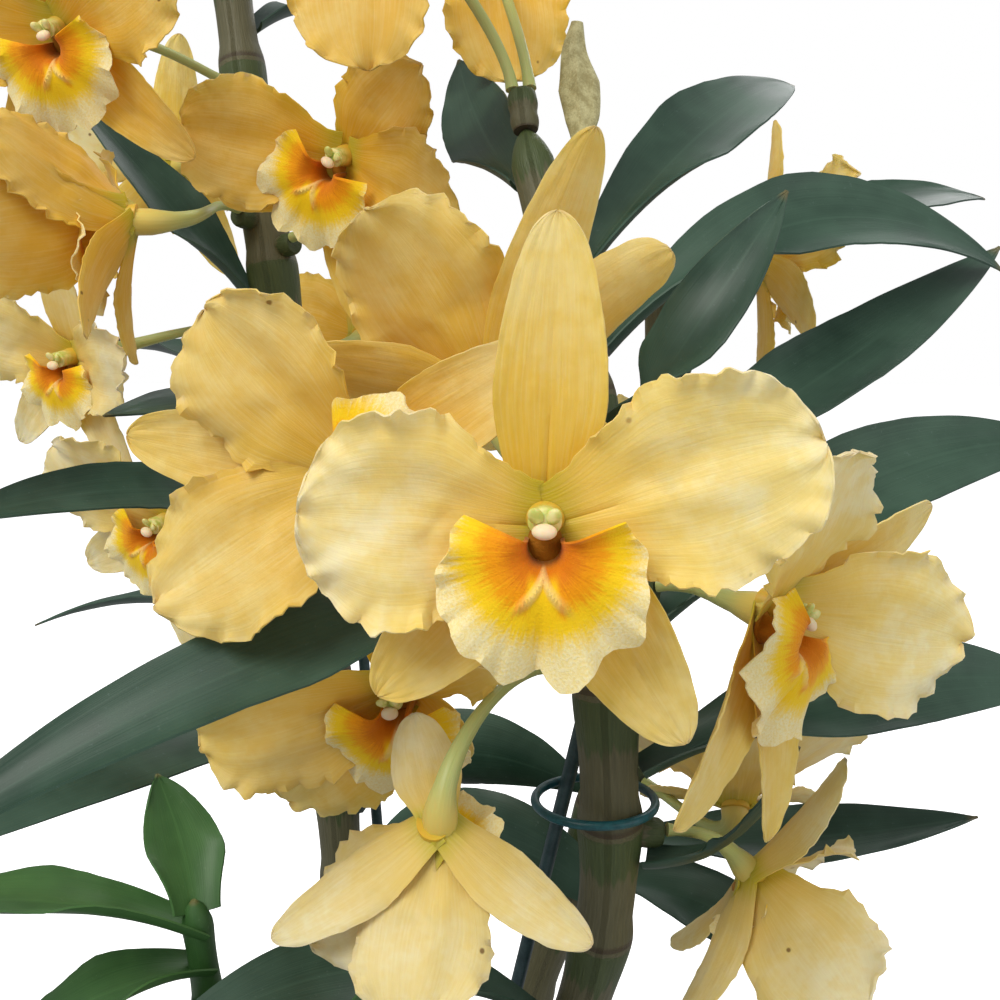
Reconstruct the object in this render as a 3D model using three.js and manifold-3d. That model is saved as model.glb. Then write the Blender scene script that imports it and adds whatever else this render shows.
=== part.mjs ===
// A nobile-type dendrobium orchid in a plain nursery pot, in full yellow bloom.
// Millimetres, +Z up, +X to the right, +Y to the back.
// The origin is the middle of the pot's foot, on the surface that the pot stands on.

import * as THREE from 'three';
import { mergeVertices } from 'three/addons/utils/BufferGeometryUtils.js';
import Module from 'manifold-3d';

const wasm = await Module();
wasm.setup();

// ------------------------------------------------------------------ driving dimensions

const GAP = 0.3; // air between pieces that rest against each other

const POT_HEIGHT = 108;
const POT_FOOT_RADIUS = 45;
const POT_TOP_RADIUS = 61;
const POT_WALL = 2;
const POT_RIM_HEIGHT = 11;
const POT_RIM_PROUD = 2.4;
const POT_SIDES = 24;
const DRAIN_HOLES = 4;
const DRAIN_HOLE_RADIUS = 4;
const DRAIN_RING_RADIUS = 27;

const BARK_TOP = 97;
const BARK_CHIPS = 20;
const BARK_CHIP_LENGTH = 22;
const BARK_SEED = 11;

const CANE_RADIUS = 5.6;
const CANE_JOINT_PROUD = 0.9;
const CANE_SIDES = 8;
const JOINT_SPACING = 27;
const JOINT_FALL = 0.22; // share of the spacing from a joint's proud ring to the waist above it
const CANE_FOOT = 70; // height at which a cane starts, inside the bark

const SPUR_RADIUS = 3.1; // short flower shoot that carries up to three stalks
const SPUR_LENGTH = 5.5;

const STALK_SIDES = 5;
const STALK_SPREAD = 1.75; // distance of each stalk from the spur's axis

const LEAF_THICKNESS = 0.9;
const LEAF_ROWS = 6;
const LEAF_CLEARANCE = 1; // from a cane's side to the middle of a clasp's thickness
const SHOOT_LEAF_SUNK = 3; // the young growth's leaves are one with its stem
const LEAF_CLASP_HALF_WIDTH = 5.2;

const TEPAL_THICKNESS = 0.8;
const LIP_THICKNESS = 0.8;

const STICK_RADIUS = 1.5;
const CLIP_WIRE_RADIUS = 0.9;

// Sepals, petals and lip of a bloom of size 1. A clock angle turns from the top sepal, seen from
// the front. Rise is the angle between the blade's start and the bloom's facing, curl is how far it
// bends back by its tip, and cup is half the angle of its cross section's arc.
const TOP_SEPAL = {
  clock: 0, length: 40, halfWidth: 7.6, base: 0.2, peak: 0.42, tipPower: 2.6, tipRoot: 1.8,
  rise: 68, curl: 24, cup: 0.35, wave: 0.4, waves: 2, ahead: -1, claw: 0.09, rows: 3,
  columns: 2,
};
const PETAL = {
  clock: 76, length: 37, halfWidth: 14.4, base: 0.1, peak: 0.54, tipPower: 2.4, tipRoot: 2,
  rise: 64, curl: 20, cup: 0.3, wave: 1.7, waves: 5, ahead: 0.8, claw: 0.09, rows: 4,
  columns: 3,
};
const SIDE_SEPAL = {
  clock: 143, length: 38, halfWidth: 7.6, base: 0.2, peak: 0.4, tipPower: 2.5, tipRoot: 1.7,
  rise: 72, curl: 34, cup: 0.4, wave: 0.4, waves: 2, ahead: -1, claw: 0.09, rows: 3,
  columns: 2,
};
const LIP = {
  clock: 180, length: 29, halfWidth: 13, base: 0.14, peak: 0.5, tipPower: 2.5, tipRoot: 2,
  rise: 4, curl: 100, bendFrom: 0.04, bendTo: 0.6, cup: 0.4, baseCup: 2, wave: 1.5, waves: 6,
  start: 1.4, ahead: 0, claw: 0.1, rows: 4, columns: 4,
};
const HEART_RADIUS = 3.1; // where all blades of a bloom meet
const COLUMN_LENGTH = 8.5;

// ------------------------------------------------------------------ where everything grows

// Each cane: the points of its axis, the radius along it, and the spurs at its joints as
// [name, height, direction out of the cane].
const CANES = {
  cane_front: {
    axis: [[17, -14, CANE_FOOT], [17, -14, 102], [31, -26, 150], [43, -41, 205], [42, -50, 255],
      [40, -41, 298], [34, -33, 330], [27, -23, 362]],
    scale: 1.0,
    spurs: [['front', 286, [-0.25, -0.97, 0.1]], ['left', 262, [-0.95, -0.35, 0]],
      ['right', 274, [0.9, -0.4, 0.1]], ['low', 226, [0.95, 0.1, -0.1]],
      ['top', 361, [-0.1, 0.3, 0.95]]],
  },
  cane_left: {
    axis: [[-14, 15, CANE_FOOT], [-14, 15, 102], [-19, 28, 160], [-25, 40, 230], [-33, 47, 300],
      [-42, 54, 360], [-50, 62, 415], [-54, 66, 448]],
    scale: 1.08,
    spurs: [['low', 285, [-0.85, -0.5, 0]], ['mid', 322, [-0.7, -0.7, 0.1]],
      ['high', 352, [-0.5, -0.85, 0.1]], ['right', 345, [0.75, -0.65, 0.1]],
      ['crown', 384, [-0.5, -0.8, 0.2]], ['back', 315, [0.25, 0.95, 0.1]],
      ['back_high', 372, [-0.5, 0.85, 0.1]]],
  },
  cane_right: {
    axis: [[18, 20, CANE_FOOT], [18, 20, 102], [30, 18, 150], [47, 14, 205], [57, 13, 250],
      [61, 15, 300], [60, 19, 343]],
    scale: 0.95,
    spurs: [['mid', 322, [0.8, 0.55, 0.1]], ['low', 216, [0.6, -0.78, 0]],
      ['back', 285, [0.2, 0.97, 0.1]]],
  },
};

// The sticks that hold the two long canes up, as foot and top, and the height of the clip on each.
const STICKS = {
  front: { cane: 'cane_front', foot: [4, -2, CANE_FOOT], top: [39, -40.4, 249], clip: 231 },
  left: { cane: 'cane_left', foot: [-2, 22, CANE_FOOT], top: [-18.4, 54.7, 258], clip: 250 },
};

// The withered bud's axis, from the cane's side to its dry tip.
const BUD_AXIS = [[33.7, -24, 352], [37.5, -24, 357], [38.5, -22, 364], [38, -19, 371],
  [37, -17.5, 378], [37.5, -17.5, 384]];
const BUD_RADII = [1.1, 1.2, 3.2, 3.9, 2.6, 1.2];

// Each bloom: its middle, where it faces (azimuth from the front towards +X, and elevation), its
// roll, its size, the spur that carries it with the stalk's place round it, and what is its own.
const BLOOMS = {
  bloom_01: {
    at: [28, -106, 296], facing: [-3, 3], roll: 1, spur: ['cane_front', 'front', 230],
    own: {
      top_sepal: { length: 40, clock: 1, rise: 80, curl: 8 },
      petal_right: { length: 36.5, clock: 71, rise: 76, curl: 12, halfWidth: 14 },
      petal_left: { length: 31.5, clock: 87, rise: 72, curl: 16, halfWidth: 14.6 },
      side_sepal_left: { clock: 137, length: 32, rise: 84, curl: 22 },
      side_sepal_right: { clock: 146, length: 34.5, rise: 84, curl: 18 },
    },
  },
  bloom_02: {
    at: [1, -82, 300], facing: [-26, 4], roll: -82, spur: ['cane_front', 'front', 110],
    own: {
      petal_left: { clock: 46, rise: 62, halfWidth: 13, length: 36 },
      petal_right: { clock: 40, rise: 62, halfWidth: 13.4, length: 34 },
    },
  },
  bloom_03: {
    at: [21, -67, 309.5], facing: [180, 42], roll: -10, spur: ['cane_front', 'front', 350],
    own: {
      top_sepal: { clock: -8, length: 48, halfWidth: 6.4 },
      petal_right: { clock: 45, length: 37 }, side_sepal_right: { clock: 88 },
      petal_left: { clock: 42, halfWidth: 9, cup: 0.8, wave: 0.6 },
      side_sepal_left: { clock: 110, length: 27, rise: 95, curl: -10 },
      lip: { clock: 215 },
    },
  },
  bloom_04: {
    at: [-13, 7, 361], facing: [-22, -12], roll: 38, spur: ['cane_left', 'right', 0],
    own: {
      top_sepal: { clock: 16, length: 31, halfWidth: 12, wave: 1.4 },
      petal_left: { clock: 112 }, side_sepal_left: { clock: 138, length: 33 },
    },
  },
  bloom_05: {
    at: [-4, -33, 408], facing: [-5, -14], roll: 102, spur: ['cane_front', 'top', -90], own: {},
  },
  bloom_06: {
    at: [20, 17, 416], facing: [10, -12], roll: 98, spur: ['cane_front', 'top', 90], own: {},
  },
  bloom_07: {
    at: [-73, 1, 387], facing: [-10, -20], roll: -10, spur: ['cane_left', 'crown', 0], own: {},
  },
  bloom_08: {
    at: [-58.5, -2.5, 346.5], facing: [-84, 2], roll: -8, spur: ['cane_left', 'high', 0],
    own: {
      top_sepal: { clock: 58, rise: 40, halfWidth: 11.5, length: 35, wave: 1.4 },
      petal_right: { clock: 118, rise: 34, curl: 6 }, side_sepal_right: { length: 35 },
      side_sepal_left: { length: 35 },
    },
  },
  bloom_09: {
    at: [-85, 31, 316], facing: [-25, -10], roll: 10, size: 0.82, spur: ['cane_left', 'mid', 0],
    own: {},
  },
  bloom_10: {
    at: [-60, 21, 276], facing: [-30, -10], roll: 28, size: 0.9, spur: ['cane_left', 'low', 0],
    own: { top_sepal: { clock: -10, length: 33, rise: 78 } },
  },
  bloom_11: {
    at: [3.5, -53, 257.5], facing: [-10, -24], roll: -4, spur: ['cane_front', 'left', 0],
    own: {
      top_sepal: { rise: 96, curl: 30, length: 34 }, lip: { length: 28 },
      petal_left: { clock: 94 },
      side_sepal_left: { clock: 136, halfWidth: 13, length: 42, wave: 1.6 },
      side_sepal_right: { clock: 156, length: 21, curl: 60 },
      petal_right: { clock: 54, halfWidth: 8.5, length: 30, rise: 74 },
    },
  },
  bloom_12: {
    at: [12, -77, 241], facing: [180, -58], roll: 117, size: 0.8, spur: ['cane_front', 'left', 180],
    open: -8,
    own: {
      petal_left: { clock: 4, rise: 46 }, petal_right: { clock: 53 }, lip: { clock: 150 },
      side_sepal_right: { clock: 119 },
      side_sepal_left: { clock: 100, length: 22, rise: 112, curl: 30 },
    },
  },
  bloom_13: {
    at: [65, -76, 277], facing: [48, -6], roll: 34, spur: ['cane_front', 'right', 0],
    own: {
      top_sepal: { clock: 36, length: 44, halfWidth: 6 }, petal_left: { clock: 40, length: 30 },
      petal_right: { clock: 66, rise: 52 }, side_sepal_left: { clock: 172 },
    },
  },
  bloom_14: {
    at: [73, -38, 213], facing: [80, -52], roll: 0, size: 0.95, spur: ['cane_front', 'low', 0],
    open: -10, own: { top_sepal: { rise: 98, halfWidth: 10, length: 32 } },
  },
  bloom_15: {
    at: [90, 46, 342], facing: [95, 0], roll: 18, size: 0.95, spur: ['cane_right', 'mid', 0],
    own: {},
  },
  bloom_16: {
    at: [73.5, -20.4, 220], facing: [170, 50], roll: 0, size: 0.92, spur: ['cane_right', 'low', 180],
    open: -10, own: {},
  },
  bloom_17: {
    at: [-20, 92, 322], facing: [168, 10], roll: 4, spur: ['cane_left', 'back', 0], own: {},
  },
  bloom_18: {
    at: [-76, 98, 374], facing: [-145, 6], roll: -6, spur: ['cane_left', 'back_high', 0], own: {},
  },
  bloom_19: {
    at: [66, 56, 288], facing: [160, -8], roll: 0, size: 0.95, spur: ['cane_right', 'back', 0],
    own: {},
  },
};

// Each leaf: the cane and height of its joint, a point that its arch is drawn towards, its tip,
// its half width, the lean of its face about the midrib, and how much farther off the cane than
// others its clasp is.
const LEAVES = {
  leaf_01: {
    from: ['cane_front', 334], over: [68, -2, 374], tip: [95, 35, 384], half: 11, lean: 30, off: 0.3,
  },
  leaf_02: {
    from: ['cane_front', 318], over: [82, -22, 362], tip: [132, -6, 336], half: 11, lean: 50, off: 0.3,
  },
  leaf_03: {
    from: ['cane_front', 300], over: [50, -70, 316], tip: [72, -52, 346], half: 8, lean: 45,
  },
  leaf_04: {
    from: ['cane_front', 292], over: [84, -26, 308], tip: [134, 2, 342], half: 11, lean: 30, off: -0.3,
  },
  leaf_05: {
    from: ['cane_right', 332], over: [104, -4, 355], tip: [139, 24, 355], half: 10, lean: 25, off: -0.4,
  },
  leaf_06: {
    from: ['cane_front', 264], over: [90, -40, 304], tip: [138, -26, 300], half: 10.5, lean: 50, off: 0.3,
  },
  leaf_07: {
    from: ['cane_front', 238], over: [92, -44, 262], tip: [142, -24, 248], half: 10.5, lean: 50,
  },
  leaf_08: {
    from: ['cane_right', 196], over: [88, 4, 198], tip: [136, 0, 208], half: 9, lean: 30, off: -0.1,
  },
  leaf_09: {
    from: ['cane_left', 275], over: [-52, -8, 295], tip: [-84, -48, 286], half: 8, lean: -40,
  },
  leaf_10: {
    from: ['cane_left', 303], over: [-45, 10, 308], tip: [-60, -22, 305], half: 6.5, lean: -20, off: -0.6,
  },
  leaf_11: {
    from: ['cane_front', 276], over: [-10, -90, 283], tip: [-66, -104, 246], half: 8.5, lean: -40, off: -0.6,
  },
  leaf_12: {
    from: ['cane_left', 220], over: [-50, -20, 243], tip: [-86, -60, 226], half: 11, lean: -40,
  },
  leaf_13: {
    from: ['cane_front', 350], over: [17, 5, 364], tip: [12, 29, 388], half: 9.5, lean: -50,
  },
  leaf_14: {
    from: ['cane_left', 332], over: [-62, 52, 352], tip: [-90, 46, 386], half: 10, lean: -40, off: 0.3,
  },
  leaf_15: {
    from: ['cane_left', 296], over: [-70, 84, 330], tip: [-118, 96, 314], half: 11, lean: 0,
  },
  leaf_16: { from: ['cane_left', 266], over: [0, 90, 300], tip: [18, 134, 286], half: 11, lean: 0 },
  leaf_17: {
    from: ['cane_left', 404], over: [-30, 88, 424], tip: [-14, 124, 416], half: 10, lean: 0,
  },
  leaf_18: {
    from: ['cane_right', 306], over: [76, 66, 336], tip: [88, 118, 322], half: 11, lean: 0,
  },
  leaf_19: {
    from: ['cane_right', 270], over: [100, 44, 300], tip: [146, 62, 284], half: 10.5, lean: 0,
  },
  leaf_20: {
    from: ['cane_right', 226], over: [40, 62, 250], tip: [30, 116, 236], half: 10.5, lean: 0,
  },
  leaf_21: {
    from: ['cane_left', 236], over: [-66, 58, 258], tip: [-112, 60, 240], half: 10, lean: 0,
  },
  leaf_22: {
    from: ['cane_front', 219], over: [68, -51, 220], tip: [76, -60, 248], half: 3, lean: -20,
  },
  leaf_23: {
    from: ['cane_front', 178], over: [-4, -52, 217], tip: [-44, -74, 192], half: 9, lean: -30,
  },
  leaf_24: {
    from: ['cane_left', 196], over: [4, 22, 229], tip: [46, 22, 205], half: 12, lean: -80, off: 0.3,
  },
  leaf_25: {
    from: ['cane_left', 178], over: [14, 4, 220], tip: [54, 0, 180], half: 12, lean: -80,
  },
  leaf_26: {
    from: ['cane_right', 184], over: [72, 4, 192], tip: [96, -22, 176], half: 9, lean: 30,
  },
};

// The young growth: its axis, and its leaves as [height of joint, over, tip, half width].
const SHOOT_AXIS = [[-18, -20, CANE_FOOT], [-18, -20, 102], [-24, -32, 140], [-34, -46, 180],
  [-37, -51, 214]];
const SHOOT_SCALE = 0.62;
const SHOOT_LEAF_ROWS = 4;
const SHOOT_LEAVES = [
  [206, [-62, -62, 226], [-98, -78, 222], 9],
  [198, [-52, -62, 206], [-74, -72, 188], 9],
  [211, [-40, -44, 222], [-48, -36, 233], 8],
  [190, [-30, -62, 196], [-14, -70, 184], 8],
  [168, [-14, -64, 178], [4, -78, 218], 9],
];

// ------------------------------------------------------------------ small helpers

const vec = (x, y, z) => new THREE.Vector3(x, y, z);
const radians = THREE.MathUtils.degToRad;
const smooth = THREE.MathUtils.smoothstep;
const lerp = THREE.MathUtils.lerp;

/** Seeded random numbers from 0 to 1, the same in each run. */
function randomFrom(seed) {
  let state = seed;
  return () => {
    state = (state * 16807) % 2147483647;
    return state / 2147483647;
  };
}

/** A small fixed variation from -1 to 1 for the nth trait of the kth bloom. */
function vary(k, n) {
  return Math.sin(k * 12.9 + n * 4.1) * 0.5 + Math.sin(k * 5.3 + n * 9.7) * 0.5;
}

function toGeometry(positions, faces) {
  const geometry = new THREE.BufferGeometry();
  geometry.setAttribute('position', new THREE.Float32BufferAttribute(positions, 3));
  geometry.setIndex(faces);
  return geometry;
}

function toSolid(geometry) {
  const bare = geometry.clone();
  bare.deleteAttribute('normal');
  bare.deleteAttribute('uv');
  const merged = mergeVertices(bare, 1e-4);
  return new wasm.Manifold(new wasm.Mesh({
    numProp: 3,
    vertProperties: new Float32Array(merged.attributes.position.array),
    triVerts: new Uint32Array(merged.index.array),
  }));
}

function fromSolid(solid) {
  const mesh = solid.getMesh();
  return toGeometry(Array.from(mesh.vertProperties), Array.from(mesh.triVerts));
}

const fuse = (geometries) => fromSolid(geometries.map(toSolid).reduce((all, one) => all.add(one)));

function cutAway(geometry, tools) {
  return fromSolid(tools.map(toSolid).reduce((left, tool) => left.subtract(tool), toSolid(geometry)));
}

/** A vertical cylinder from one height to another. */
function post(x, y, from, to, radius, sides) {
  const geometry = new THREE.CylinderGeometry(radius, radius, to - from, sides);
  geometry.rotateX(Math.PI / 2);
  geometry.translate(x, y, (from + to) / 2);
  return geometry;
}

// ------------------------------------------------------------------ tubes

/** Unit tangents of a row of points. */
function tangents(points) {
  return points.map((_, i) => {
    const before = points[Math.max(i - 1, 0)];
    const after = points[Math.min(i + 1, points.length - 1)];
    return after.clone().sub(before).normalize();
  });
}

/** A closed tube through points, with a radius at each, and rings that never spin. */
function loft(points, radii, sides) {
  const along = tangents(points);
  const start = Math.abs(along[0].z) < 0.9 ? vec(0, 0, 1) : vec(1, 0, 0);
  let across = start.cross(along[0]).normalize();
  const positions = [];
  points.forEach((point, i) => {
    across = across.clone().addScaledVector(along[i], -across.dot(along[i])).normalize();
    const up = along[i].clone().cross(across);
    for (let k = 0; k < sides; k += 1) {
      const turn = (2 * Math.PI * k) / sides;
      const spot = point.clone();
      spot.addScaledVector(across, radii[i] * Math.cos(turn));
      spot.addScaledVector(up, radii[i] * Math.sin(turn));
      positions.push(spot.x, spot.y, spot.z);
    }
  });
  const faces = [];
  const at = (i, k) => i * sides + (k % sides);
  for (let i = 0; i < points.length - 1; i += 1) {
    for (let k = 0; k < sides; k += 1) {
      faces.push(at(i, k), at(i, k + 1), at(i + 1, k + 1), at(i, k), at(i + 1, k + 1), at(i + 1, k));
    }
  }
  const last = points.length - 1;
  for (let k = 1; k < sides - 1; k += 1) {
    faces.push(at(0, 0), at(0, k + 1), at(0, k), at(last, 0), at(last, k), at(last, k + 1));
  }
  return toGeometry(positions, faces);
}

// ------------------------------------------------------------------ thin blades

/**
 * A closed sheet: rows of points pushed half a thickness to each side, split alike on both.
 * A row of two points fans out to a longer row after it.
 */
function sheet(rows, normals, thickness) {
  const starts = rows.map((_, i) => rows.slice(0, i).reduce((sum, row) => sum + row.length, 0));
  const back = rows.reduce((sum, row) => sum + row.length, 0);
  const positions = [0.5, -0.5].flatMap((side) => rows.flatMap((row, i) => row.flatMap((point, j) => (
    point.clone().addScaledVector(normals[i][j], side * thickness).toArray()))));
  const faces = [];
  const bothFaces = (a, b, c) => faces.push(a, b, c, a + back, c + back, b + back);
  for (let i = 0; i < rows.length - 1; i += 1) {
    const [here, next] = [starts[i], starts[i + 1]];
    const [width, nextWidth] = [rows[i].length, rows[i + 1].length];
    for (let j = 0; j < nextWidth - 1; j += 1) {
      const corner = width === nextWidth ? here + j : here;
      bothFaces(corner, next + j + 1, next + j);
      if (width === nextWidth) bothFaces(corner, corner + 1, next + j + 1);
    }
    if (width !== nextWidth) bothFaces(here, here + 1, next + nextWidth - 1);
  }
  const right = rows.map((row, i) => starts[i] + row.length - 1);
  const tip = rows.at(-1).map((_, j) => starts.at(-1) + j).reverse();
  const left = starts.slice(1).reverse();
  const border = [...rows[0].map((_, j) => j).slice(0, -1), ...right, ...tip.slice(1, -1), ...left];
  border.forEach((p, n) => {
    const q = border[(n + 1) % border.length];
    faces.push(q, p, p + back, q, p + back, q + back);
  });
  return toGeometry(positions, faces);
}

/** Share of the full half width at t along a blade, from its base to its blunt tip. */
function outline(t, form) {
  if (t < form.peak) return lerp(form.base, 1, smooth(t, 0, form.peak));
  const beyond = (t - form.peak) / (1 - form.peak);
  return Math.max((1 - beyond ** form.tipPower) ** (1 / form.tipRoot), 0.1);
}

/** Half the angle of a blade's cross section at t. */
const cupAt = (t, form) => lerp(form.baseCup ?? form.cup, form.cup, smooth(t, 0.15, 0.6));

/** One point of a blade's cross section: how far across, and how far out of its plane. */
function section(t, v, form, phase) {
  const half = form.halfWidth * outline(t, form);
  const cup = cupAt(t, form);
  const beyond = Math.max((t - form.peak) / (1 - form.peak), 0);
  const edge = 1 - (1 - v * v) * (1 - beyond * beyond);
  const around = Math.atan2((v * half) / form.length, t - 0.45);
  const wave = form.wave * edge ** 3 * smooth(t, 0.1, 0.45) * Math.sin(form.waves * around + phase);
  return [half * Math.sin(cup * v) / cup, half * (1 - Math.cos(cup * v)) / cup + wave];
}

/** Rows of a blade, closer together towards the tip. A claw is a narrow first stretch. */
function rowPlaces({ rows, claw }) {
  const places = Array.from({ length: rows + 1 }, (_, i) => 1 - (1 - i / rows) ** 1.3);
  return claw ? [0, claw, ...places.slice(1)] : places;
}

/** The middle line of a sepal, petal or lip: a frame at each place, bending back from its facing. */
function bendingFrames(start, along, face, form, places) {
  const steps = 48;
  const side = along.clone().cross(face);
  const turn = (t) => radians(form.curl) * smooth(t, form.bendFrom ?? -0.6, form.bendTo ?? 1.6);
  const frames = [];
  const point = start.clone();
  let step = 0;
  places.forEach((t) => {
    while (step / steps < t - 1e-9) {
      const middle = (step + 0.5) / steps;
      const heading = along.clone().applyAxisAngle(side, -(turn(middle) - turn(0)));
      point.addScaledVector(heading, form.length / steps);
      step += 1;
    }
    const bent = -(turn(t) - turn(0));
    frames.push({
      point: point.clone(),
      side,
      face: face.clone().applyAxisAngle(side, bent),
    });
  });
  return frames;
}

/** A blade on its frames: two points across its claw, and a full row beyond. */
function blade(frames, form, places, phase, thickness) {
  const rows = [];
  const normals = [];
  frames.forEach(({ point, side, face }, i) => {
    const columns = form.claw && i < 2 ? 1 : form.columns;
    const across = Array.from({ length: columns + 1 }, (_, j) => (2 * j) / columns - 1);
    rows.push(across.map((v) => {
      const [out, up] = section(places[i], v, form, phase);
      return point.clone().addScaledVector(side, out).addScaledVector(face, up);
    }));
    normals.push(across.map((v) => {
      const lean = v * cupAt(places[i], form);
      return face.clone().multiplyScalar(Math.cos(lean)).addScaledVector(side, -Math.sin(lean));
    }));
  });
  return sheet(rows, normals, thickness);
}

// ------------------------------------------------------------------ canes

const caneCurve = (axis) => new THREE.CatmullRomCurve3(axis.map((p) => vec(...p)));

/** Share of a curve's length at which it reaches a height. */
function placeAtHeight(curve, height) {
  let low = 0;
  let high = 1;
  for (let i = 0; i < 40; i += 1) {
    const middle = (low + high) / 2;
    if (curve.getPointAt(middle).z < height) low = middle;
    else high = middle;
  }
  return (low + high) / 2;
}

/** Radius of a cane: slim at its foot, swollen above the middle, slim at its top. */
function caneRadius(share, scale) {
  const swell = lerp(0.72, 1, smooth(share, 0.1, 0.45)) - 0.3 * smooth(share, 0.75, 1);
  return CANE_RADIUS * scale * swell;
}

const jointCount = (curve) => Math.round(curve.getLength() / JOINT_SPACING);

/** How proud a cane is at a share of its length: most at each joint, falling to a waist above. */
function caneProud(curve, share) {
  const past = (share * jointCount(curve)) % 1;
  const fall = past < JOINT_FALL ? past / JOINT_FALL : (1 - past) / (1 - JOINT_FALL);
  return CANE_JOINT_PROUD * (1 - fall);
}

/** A cane's rings: a proud ring at each joint and a slim waist between. */
function caneRings(curve, scale) {
  const joints = jointCount(curve);
  const rings = [];
  for (let i = 0; i < joints; i += 1) {
    rings.push([i / joints, CANE_JOINT_PROUD], [(i + JOINT_FALL) / joints, 0]);
  }
  rings.push([1, 0]);
  const points = rings.map(([share]) => curve.getPointAt(share));
  const radii = rings.map(([share, proud]) => caneRadius(share, scale) + proud);
  return [points, radii];
}

/** A spur's frame: the middle of its end face, and its direction. */
function spurEnd(caneName, spurName) {
  const cane = CANES[caneName];
  const [, height, way] = cane.spurs.find(([name]) => name === spurName);
  const curve = caneCurve(cane.axis);
  const share = placeAtHeight(curve, height);
  const root = curve.getPointAt(share);
  const direction = vec(...way).normalize();
  const reach = caneRadius(share, cane.scale) * 0.6 + SPUR_LENGTH + 1.5;
  return { root, direction, end: root.clone().addScaledVector(direction, reach) };
}

function spurGeometry(caneName, spurName) {
  const { root, direction, end } = spurEnd(caneName, spurName);
  const waist = root.clone().lerp(end, 0.7);
  const start = root.clone().addScaledVector(direction, 1);
  return loft([start, waist, end], [SPUR_RADIUS * 0.8, SPUR_RADIUS * 0.85, SPUR_RADIUS], 6);
}

function caneSolid(name) {
  const { axis, scale, spurs } = CANES[name];
  const [points, radii] = caneRings(caneCurve(axis), scale);
  return fuse([loft(points, radii, CANE_SIDES), ...spurs.map(([spur]) => spurGeometry(name, spur))]);
}

// ------------------------------------------------------------------ sticks and clips

/** A stick, or with a larger radius the plain hole that it stands in. */
function stickGeometry({ foot, top }, radius) {
  const [low, high] = [vec(...foot), vec(...top)];
  const start = low.clone().lerp(high, (STICK_RADIUS - radius) / low.distanceTo(high));
  return loft([start, high], [radius, radius], 8);
}

/** A wire ring, level, round a cane and its stick, just clear of both. */
function clipSolid({ cane, foot, top, clip }) {
  const { axis, scale } = CANES[cane];
  const curve = caneCurve(axis);
  const share = placeAtHeight(curve, clip);
  const centre = curve.getPointAt(share);
  const stick = vec(...foot).lerp(vec(...top), (clip - foot[2]) / (top[2] - foot[2]));
  const way = stick.clone().sub(centre).setZ(0).normalize();
  const nearEdge = centre.clone().addScaledVector(way, -caneRadius(share, scale) - CANE_JOINT_PROUD);
  const farEdge = stick.clone().addScaledVector(way, STICK_RADIUS + 2 * GAP);
  const radius = nearEdge.distanceTo(farEdge) / 2 + CLIP_WIRE_RADIUS;
  const ring = new THREE.TorusGeometry(radius, CLIP_WIRE_RADIUS, 6, 20);
  const middle = nearEdge.add(farEdge).multiplyScalar(0.5);
  ring.translate(middle.x, middle.y, clip);
  return fromSolid(toSolid(ring));
}

const budSolid = () => loft(BUD_AXIS.map((p) => vec(...p)), BUD_RADII, 7);

// ------------------------------------------------------------------ leaves

const LEAF_FORM = {
  base: 0.5, peak: 0.45, tipPower: 1.9, tipRoot: 1.15, cup: 0.5, baseCup: 1.0, wave: 0.7, waves: 3,
  columns: 2,
};

/** Frames on a leaf's arch, its face turned up and then leaned about the midrib. */
function archFrames(curve, lean, places) {
  return places.map((t) => {
    const along = curve.getTangent(t);
    const side = along.clone().cross(vec(0, 0, 1)).normalize();
    side.applyAxisAngle(along, radians(lean) * smooth(t, 0, 0.5));
    return { point: curve.getPoint(t), side, face: side.clone().cross(along) };
  });
}

/** A strap leaf from its clasp to its tip. */
function leafGeometry(start, over, tip, half, lean, rows, claw) {
  const curve = new THREE.QuadraticBezierCurve3(start, vec(...over), vec(...tip));
  const form = { ...LEAF_FORM, halfWidth: half, length: curve.getLength(), rows, claw };
  form.base = LEAF_CLASP_HALF_WIDTH / half;
  const places = rowPlaces(form);
  return blade(archFrames(curve, lean, places), form, places, half, LEAF_THICKNESS);
}

/** The point just outside a cane from which a leaf starts towards another point. */
function leafStart(curve, scale, height, over, clearance) {
  const share = placeAtHeight(curve, height);
  const root = curve.getPointAt(share);
  const way = vec(over[0] - root.x, over[1] - root.y, 0).normalize();
  const surface = caneRadius(share, scale) + caneProud(curve, share);
  return root.addScaledVector(way, surface + clearance);
}

function leafSolid({ from: [caneName, height], over, tip, half, lean, off = 0 }) {
  const { axis, scale } = CANES[caneName];
  const start = leafStart(caneCurve(axis), scale, height, over, LEAF_CLEARANCE + off);
  return leafGeometry(start, over, tip, half, lean, LEAF_ROWS, 0);
}

function shootSolid() {
  const curve = caneCurve(SHOOT_AXIS);
  const [points, radii] = caneRings(curve, SHOOT_SCALE);
  const leaves = SHOOT_LEAVES.map(([height, over, tip, half]) => {
    const start = leafStart(curve, SHOOT_SCALE, height, over, -SHOOT_LEAF_SUNK);
    return leafGeometry(start, over, tip, half, 0, SHOOT_LEAF_ROWS, 0.06);
  });
  return fuse([loft(points, radii, 6), ...leaves]);
}

// ------------------------------------------------------------------ blooms

/** A bloom's axes: where it faces, its own up, and its own right as seen from the front. */
function bloomAxes([azimuth, elevation], roll) {
  const [az, el] = [radians(azimuth), radians(elevation)];
  const facing = vec(Math.sin(az) * Math.cos(el), -Math.cos(az) * Math.cos(el), Math.sin(el));
  const up = vec(0, 0, 1).addScaledVector(facing, -facing.z).normalize();
  up.applyAxisAngle(facing, radians(-roll));
  return { facing, up, right: up.clone().cross(facing) };
}

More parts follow.
